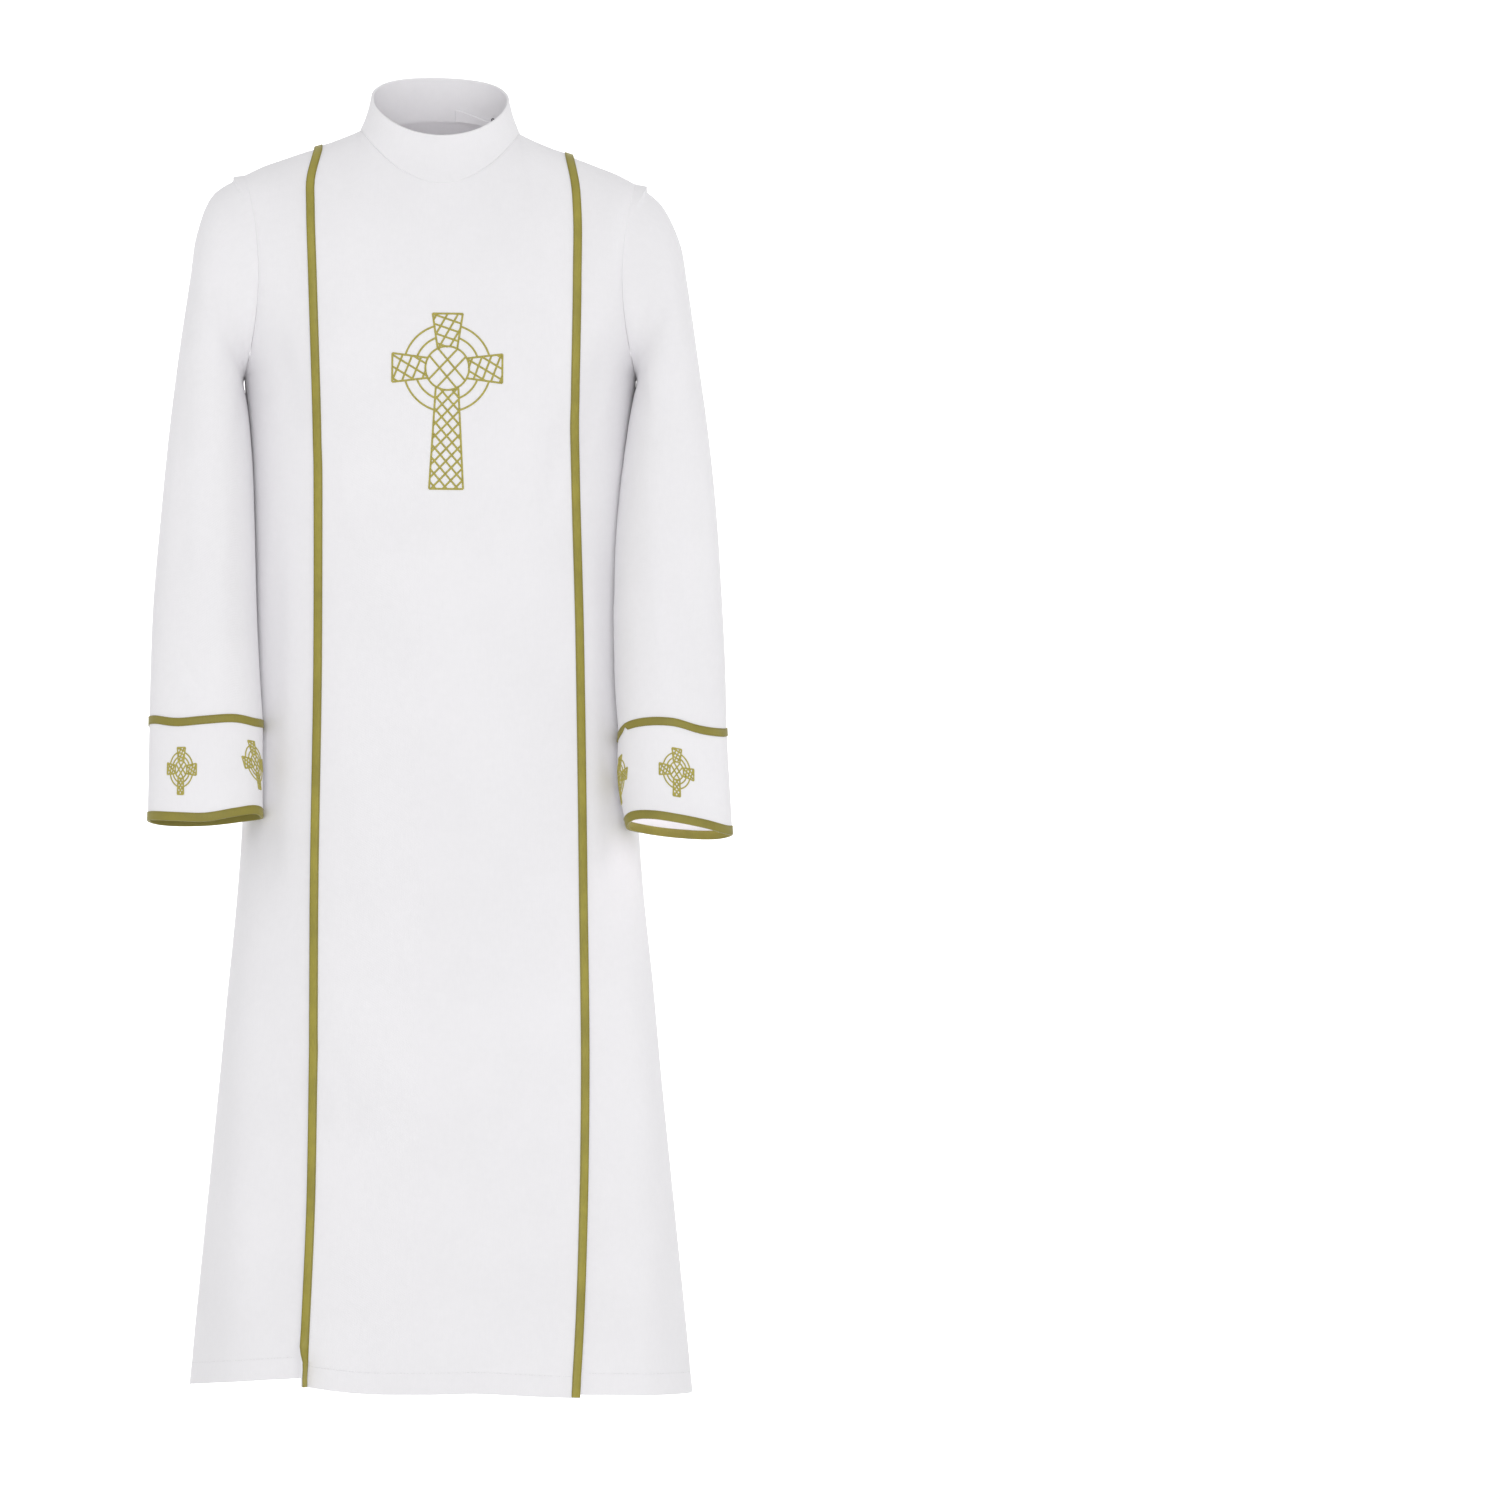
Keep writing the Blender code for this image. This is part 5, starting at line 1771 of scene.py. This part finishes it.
class ROBE_OT_cuffs(bpy.types.Operator):
    """Sew the cuffs on, with their ribbons and bindings"""

    bl_idname = "robe.cuffs"
    bl_label = "Cuffs"

    def execute(self, context):
        for hand in (LEFT, RIGHT):
            hand_name = HAND_NAMES[hand]
            sheet = cuff_sheet(hand)
            made = wall(f"cuff_{hand_name}_cloth", sheet, CLOTH, white_cloth_finish())
            dress(f"cuff_{hand_name}", made)
            ribbon = cuff_ribbon(hand)
            name = f"cuff_top_ribbon_{hand_name}"
            made = wall(f"{name}_satin", ribbon, ribbon_depth(ribbon), ribbon_finish())
            dress(name, made)
            name = f"cuff_binding_{hand_name}"
            made = binding(f"{name}_satin", sheet)
            dress(name, made)
        return {"FINISHED"}


class ROBE_OT_collar(bpy.types.Operator):
    """Set the stand collar on the neck, with its underlap"""

    bl_idname = "robe.collar"
    bl_label = "Collar"

    def execute(self, context):
        made = wall("collar_cloth", collar_sheet(), COLLAR_CLOTH, white_cloth_finish())
        dress("collar", made)
        made = wall("collar_underlap_cloth", underlap_sheet(), UNDERLAP_CLOTH, white_cloth_finish())
        dress("collar_underlap", made)
        return {"FINISHED"}


class ROBE_OT_ribbons(bpy.types.Operator):
    """Lay the gold ribbons on the edges of the front panel"""

    bl_idname = "robe.ribbons"
    bl_label = "Front ribbons"

    def execute(self, context):
        for hand in (LEFT, RIGHT):
            ribbon = front_ribbon(hand)
            name = f"front_ribbon_{HAND_NAMES[hand]}"
            made = wall(f"{name}_satin", ribbon, ribbon_depth(ribbon), ribbon_finish())
            dress(name, made)
        return {"FINISHED"}


class ROBE_OT_sewing(bpy.types.Operator):
    """Sew the hems, the collar and the ribbons"""

    bl_idname = "robe.sewing"
    bl_label = "Sewing"

    def execute(self, context):
        length = context.scene.robe_trim.stitch_length
        white = [collar_sewing()]
        for side in (FRONT, BACK):
            white.append(hem_sewing(centre_sheet(side)))
            white += [hem_sewing(side_sheet(side, hand)) for hand in (LEFT, RIGHT)]
        for name, lines, finish, slot in (
            ("white_sewing", white, white_thread(), "white_cloth"),
            ("gold_sewing", gold_lines(), gold_sewing_thread(), "gold_ribbon"),
        ):
            parts = []
            for points, outs in lines:
                parts += stitches(points, outs, length)
            trim(name, parts, finish, slot)
        return {"FINISHED"}


# Piping on the back panel's edges: half its thickness, how deep its middle lies as a share of the
# cloth, and how far above the hem it ends
PIPING_HALF = 0.0012
PIPING_SUNK = 0.3
PIPING_END = 0.016


class ROBE_OT_piping(bpy.types.Operator):
    """Sew the piping into the back panel's edges"""

    bl_idname = "robe.piping"
    bl_label = "Piping"

    def execute(self, context):
        sheet = centre_sheet(BACK)
        for hand, edge, beside in ((LEFT, 0, 1), (RIGHT, -1, -2)):
            away = unit(sheet.outer[:, edge] - sheet.outer[:, beside])
            into = sheet.inward[:, edge] * CLOTH * PIPING_SUNK
            line = sheet.outer[:, edge] + into + away * PIPING_HALF
            above = np.linalg.norm(sheet.outer[:, edge] - sheet.outer[-1, edge], axis=-1)
            kept = above > PIPING_END
            kept[:2] = False
            piping = sweep(line[kept], -unit(sheet.inward[kept, edge]), PIPING_HALF, ROUND_SECTION)
            trim(f"piping_{HAND_NAMES[hand]}", [piping], piping_finish(), "white_cloth")
        return {"FINISHED"}


# Hook: half its width, height, wire's half thickness, its angle round the neck and how far its
# bend stands above the underlap's edge
HOOK_HALF, HOOK_HEIGHT, HOOK_WIRE = 0.0018, 0.0045, 0.00060
HOOK_RISE = 0.0030
HOOK_ANGLE = math.radians(41)


class ROBE_OT_hook(bpy.types.Operator):
    """Sew the hook on the collar's underlap"""

    bl_idname = "robe.hook"
    bl_label = "Collar hook"

    def execute(self, context):
        sheet = underlap_sheet()
        share = (HOOK_ANGLE - UNDERLAP_FROM) / (UNDERLAP_TO - UNDERLAP_FROM)
        column = np.array([share * UNDERLAP_COLUMNS])
        spots = [sheet.at(np.array([row]), column)[0][0] for row in (0.0, 1.0)]
        beside = sheet.at(np.array([0.0]), column + 1)[0][0]
        into = -sheet.at(np.array([0.5]), column)[1][0]
        up, along = unit(spots[0] - spots[1]), unit(beside - spots[0])
        turns = np.linspace(0, math.pi, 9)
        bend = [(HOOK_HALF * math.cos(turn), HOOK_HALF * math.sin(turn)) for turn in turns]
        shape = [(HOOK_HALF, -HOOK_HEIGHT + HOOK_HALF), *bend, (-HOOK_HALF, -HOOK_HEIGHT + HOOK_HALF)]
        middle = spots[0] + into * (UNDERLAP_CLOTH + HOOK_WIRE)
        line = np.array([middle + along * across + up * (high + HOOK_RISE) for across, high in shape])
        outs = np.repeat(into[None], len(line), axis=0)
        joined("collar_hook", [sweep(line, outs, HOOK_WIRE, ROUND_SECTION)], hook_finish())
        return {"FINISHED"}


class ROBE_OT_embroidery(bpy.types.Operator):
    """Embroider the chest cross and three small crosses on each cuff"""

    bl_idname = "robe.embroidery"
    bl_label = "Crosses"

    def execute(self, context):
        trim("chest_cross", chest_cross_threads(), gold_thread(), "gold_ribbon")
        for hand in (LEFT, RIGHT):
            for place, layout in CUFF_CROSSES[hand].items():
                name = f"cuff_cross_{HAND_NAMES[hand]}_{place}"
                trim(name, cuff_cross_threads(hand, *layout), gold_thread(), "gold_ribbon")
        return {"FINISHED"}


# Picture: width of the view at the robe, its middle, and the height of the camera
VIEW_WIDTH = 1.62
VIEW_MIDDLE = (0.334, 0.0, -0.664)
CAMERA_HEIGHT = -0.50
SENSOR = 36.0
VIEW_END = 100.0

# Floor: how far it lies below the robe, and its reach; it sweeps up into the backdrop
FLOOR_GAP = 0.30
FLOOR_HALF_WIDTH = 9.0
FLOOR_FRONT, FLOOR_BACK = -12.0, 8.4
SWEEP_RADIUS = 2.5
BACKDROP_HEIGHT = 7.0
SWEEP_STEPS = 24


def add_backdrop():
    """White floor that sweeps up into a backdrop."""
    lowest = min(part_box(node)[0][2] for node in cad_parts) - FLOOR_GAP
    turns = np.linspace(0, math.pi / 2, SWEEP_STEPS + 1)
    curve_y = FLOOR_BACK + SWEEP_RADIUS * np.sin(turns)
    curve_z = lowest + SWEEP_RADIUS * (1 - np.cos(turns))
    y = np.concatenate([[FLOOR_FRONT], curve_y, [curve_y[-1]]])
    z = np.concatenate([[lowest], curve_z, [lowest + BACKDROP_HEIGHT]])
    points = [(x, float(a), float(b)) for a, b in zip(y, z) for x in (-FLOOR_HALF_WIDTH, FLOOR_HALF_WIDTH)]
    faces = [(2 * row, 2 * row + 1, 2 * row + 3, 2 * row + 2) for row in range(len(y) - 1)]
    mesh = bpy.data.meshes.new("studio_backdrop")
    mesh.from_pydata(points, [], faces)
    mesh.shade_smooth()
    mesh.materials.append(backdrop_finish())
    made = bpy.data.objects.new("studio_backdrop", mesh)
    bpy.context.scene.collection.objects.link(made)


# Soft lights: place, width and height, power and what they point at
LIGHTS = {
    "key": ((-1.1, -6.2, 1.7), (2.4, 2.4), 66.0, (0.0, 0.0, -0.50)),
    "fill": ((1.8, -6.2, -0.3), (3.0, 3.0), 47.0, (0.0, 0.0, -0.65)),
    "side_right": ((-4.5, 0.6, 0.9), (2.0, 2.4), 16.0, (0.0, 0.0, -0.50)),
    "side_left": ((4.5, 0.6, 0.9), (2.0, 2.4), 26.0, (0.0, 0.0, -0.50)),
    "backdrop_left": ((-3.2, 4.6, 2.6), (1.6, 3.6), 300.0, (0.6, 10.9, -0.8)),
    "backdrop_right": ((3.2, 4.6, 2.6), (1.6, 3.6), 300.0, (-0.6, 10.9, -0.8)),
}
# Small lights inside the robe, in its neck and its left cuff: place, radius and power
INNER_LIGHTS = {
    "neck": ((0.0, -0.085, -0.20), 0.03, 0.17),
    "cuff_left": ((0.256, -0.078, -0.66), 0.015, 0.10),
}
INNER_TINT = (1.0, 0.955, 0.985)
WORLD_LIGHT = 0.70


def place_in_studio(name, data, place):
    """A light or camera of the studio, at its place."""
    made = bpy.data.objects.new(name, data)
    made.location = place
    bpy.context.scene.collection.objects.link(made)
    return made


def aim(made, target):
    """Turns a light or camera towards a point."""
    way = Vector(target) - made.location
    made.rotation_euler = way.to_track_quat("-Z", "Y").to_euler()


def add_light(name, kind, place, power):
    """A light of the studio, with its power."""
    light = bpy.data.lights.new(f"studio_{name}", kind)
    light.energy = power
    return place_in_studio(f"studio_{name}", light, place)


def add_lights(share):
    """Soft lights round the robe and inside it, and even light from all sides."""
    for name, (place, size, power, target) in LIGHTS.items():
        made = add_light(name, "AREA", place, power * share)
        made.data.shape = "RECTANGLE"
        made.data.size, made.data.size_y = size
        made.visible_camera = False
        aim(made, target)
    for name, (place, radius, power) in INNER_LIGHTS.items():
        made = add_light(name, "POINT", place, power * share)
        made.data.shadow_soft_size = radius
        made.data.color = INNER_TINT
    world = bpy.data.worlds.new("studio_world")
    world.use_nodes = True
    background = world.node_tree.nodes["Background"]
    background.inputs["Color"].default_value = (1.0, 1.0, 1.0, 1.0)
    background.inputs["Strength"].default_value = WORLD_LIGHT * share
    bpy.context.scene.world = world
    bpy.context.scene.view_settings.view_transform = "Standard"


def add_camera(distance):
    """Camera in front of the robe, with the view's width where the robe is."""
    place = Vector((0.0, -distance, CAMERA_HEIGHT))
    camera = bpy.data.cameras.new("studio_camera")
    camera.sensor_width = SENSOR
    camera.lens = SENSOR * (Vector(VIEW_MIDDLE) - place).length / VIEW_WIDTH
    camera.clip_end = VIEW_END
    made = place_in_studio("studio_camera", camera, place)
    aim(made, VIEW_MIDDLE)
    bpy.context.scene.camera = made


class ROBE_OT_studio(bpy.types.Operator):
    """Set up the plain floor and backdrop, soft lights and camera"""

    bl_idname = "robe.studio"
    bl_label = "Studio"

    def execute(self, context):
        studio = context.scene.robe_studio
        add_backdrop()
        add_lights(studio.light)
        add_camera(studio.camera_distance)
        return {"FINISHED"}


GROUPS = {"robe_cloth": RobeCloth, "robe_trim": RobeTrim, "robe_studio": RobeStudio}
OPERATORS = (
    ROBE_OT_panels,
    ROBE_OT_sleeves,
    ROBE_OT_cuffs,
    ROBE_OT_collar,
    ROBE_OT_ribbons,
    ROBE_OT_embroidery,
    ROBE_OT_sewing,
    ROBE_OT_piping,
    ROBE_OT_hook,
    ROBE_OT_studio,
)


class ROBE_PT_sidebar(bpy.types.Panel):
    """The robe's sizes and colours, and its pieces"""

    bl_idname = "ROBE_PT_sidebar"
    bl_label = "Priest robe"
    bl_space_type = "VIEW_3D"
    bl_region_type = "UI"
    bl_category = "Robe"

    def draw(self, context):
        for name, group in GROUPS.items():
            box = self.layout.box()
            for field in group.__annotations__:
                box.prop(getattr(context.scene, name), field)
        for operator in OPERATORS:
            self.layout.operator(operator.bl_idname)


def register():
    for made in (*GROUPS.values(), *OPERATORS, ROBE_PT_sidebar):
        bpy.utils.register_class(made)
    for name, group in GROUPS.items():
        setattr(bpy.types.Scene, name, bpy.props.PointerProperty(type=group))


def unregister():
    for name in GROUPS:
        delattr(bpy.types.Scene, name)
    for made in reversed((*GROUPS.values(), *OPERATORS, ROBE_PT_sidebar)):
        bpy.utils.unregister_class(made)


def main():
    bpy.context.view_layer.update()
    register()
    for operator in OPERATORS:
        group, name = operator.bl_idname.split(".")
        getattr(getattr(bpy.ops, group), name)()


if __name__ == "__main__":
    main()
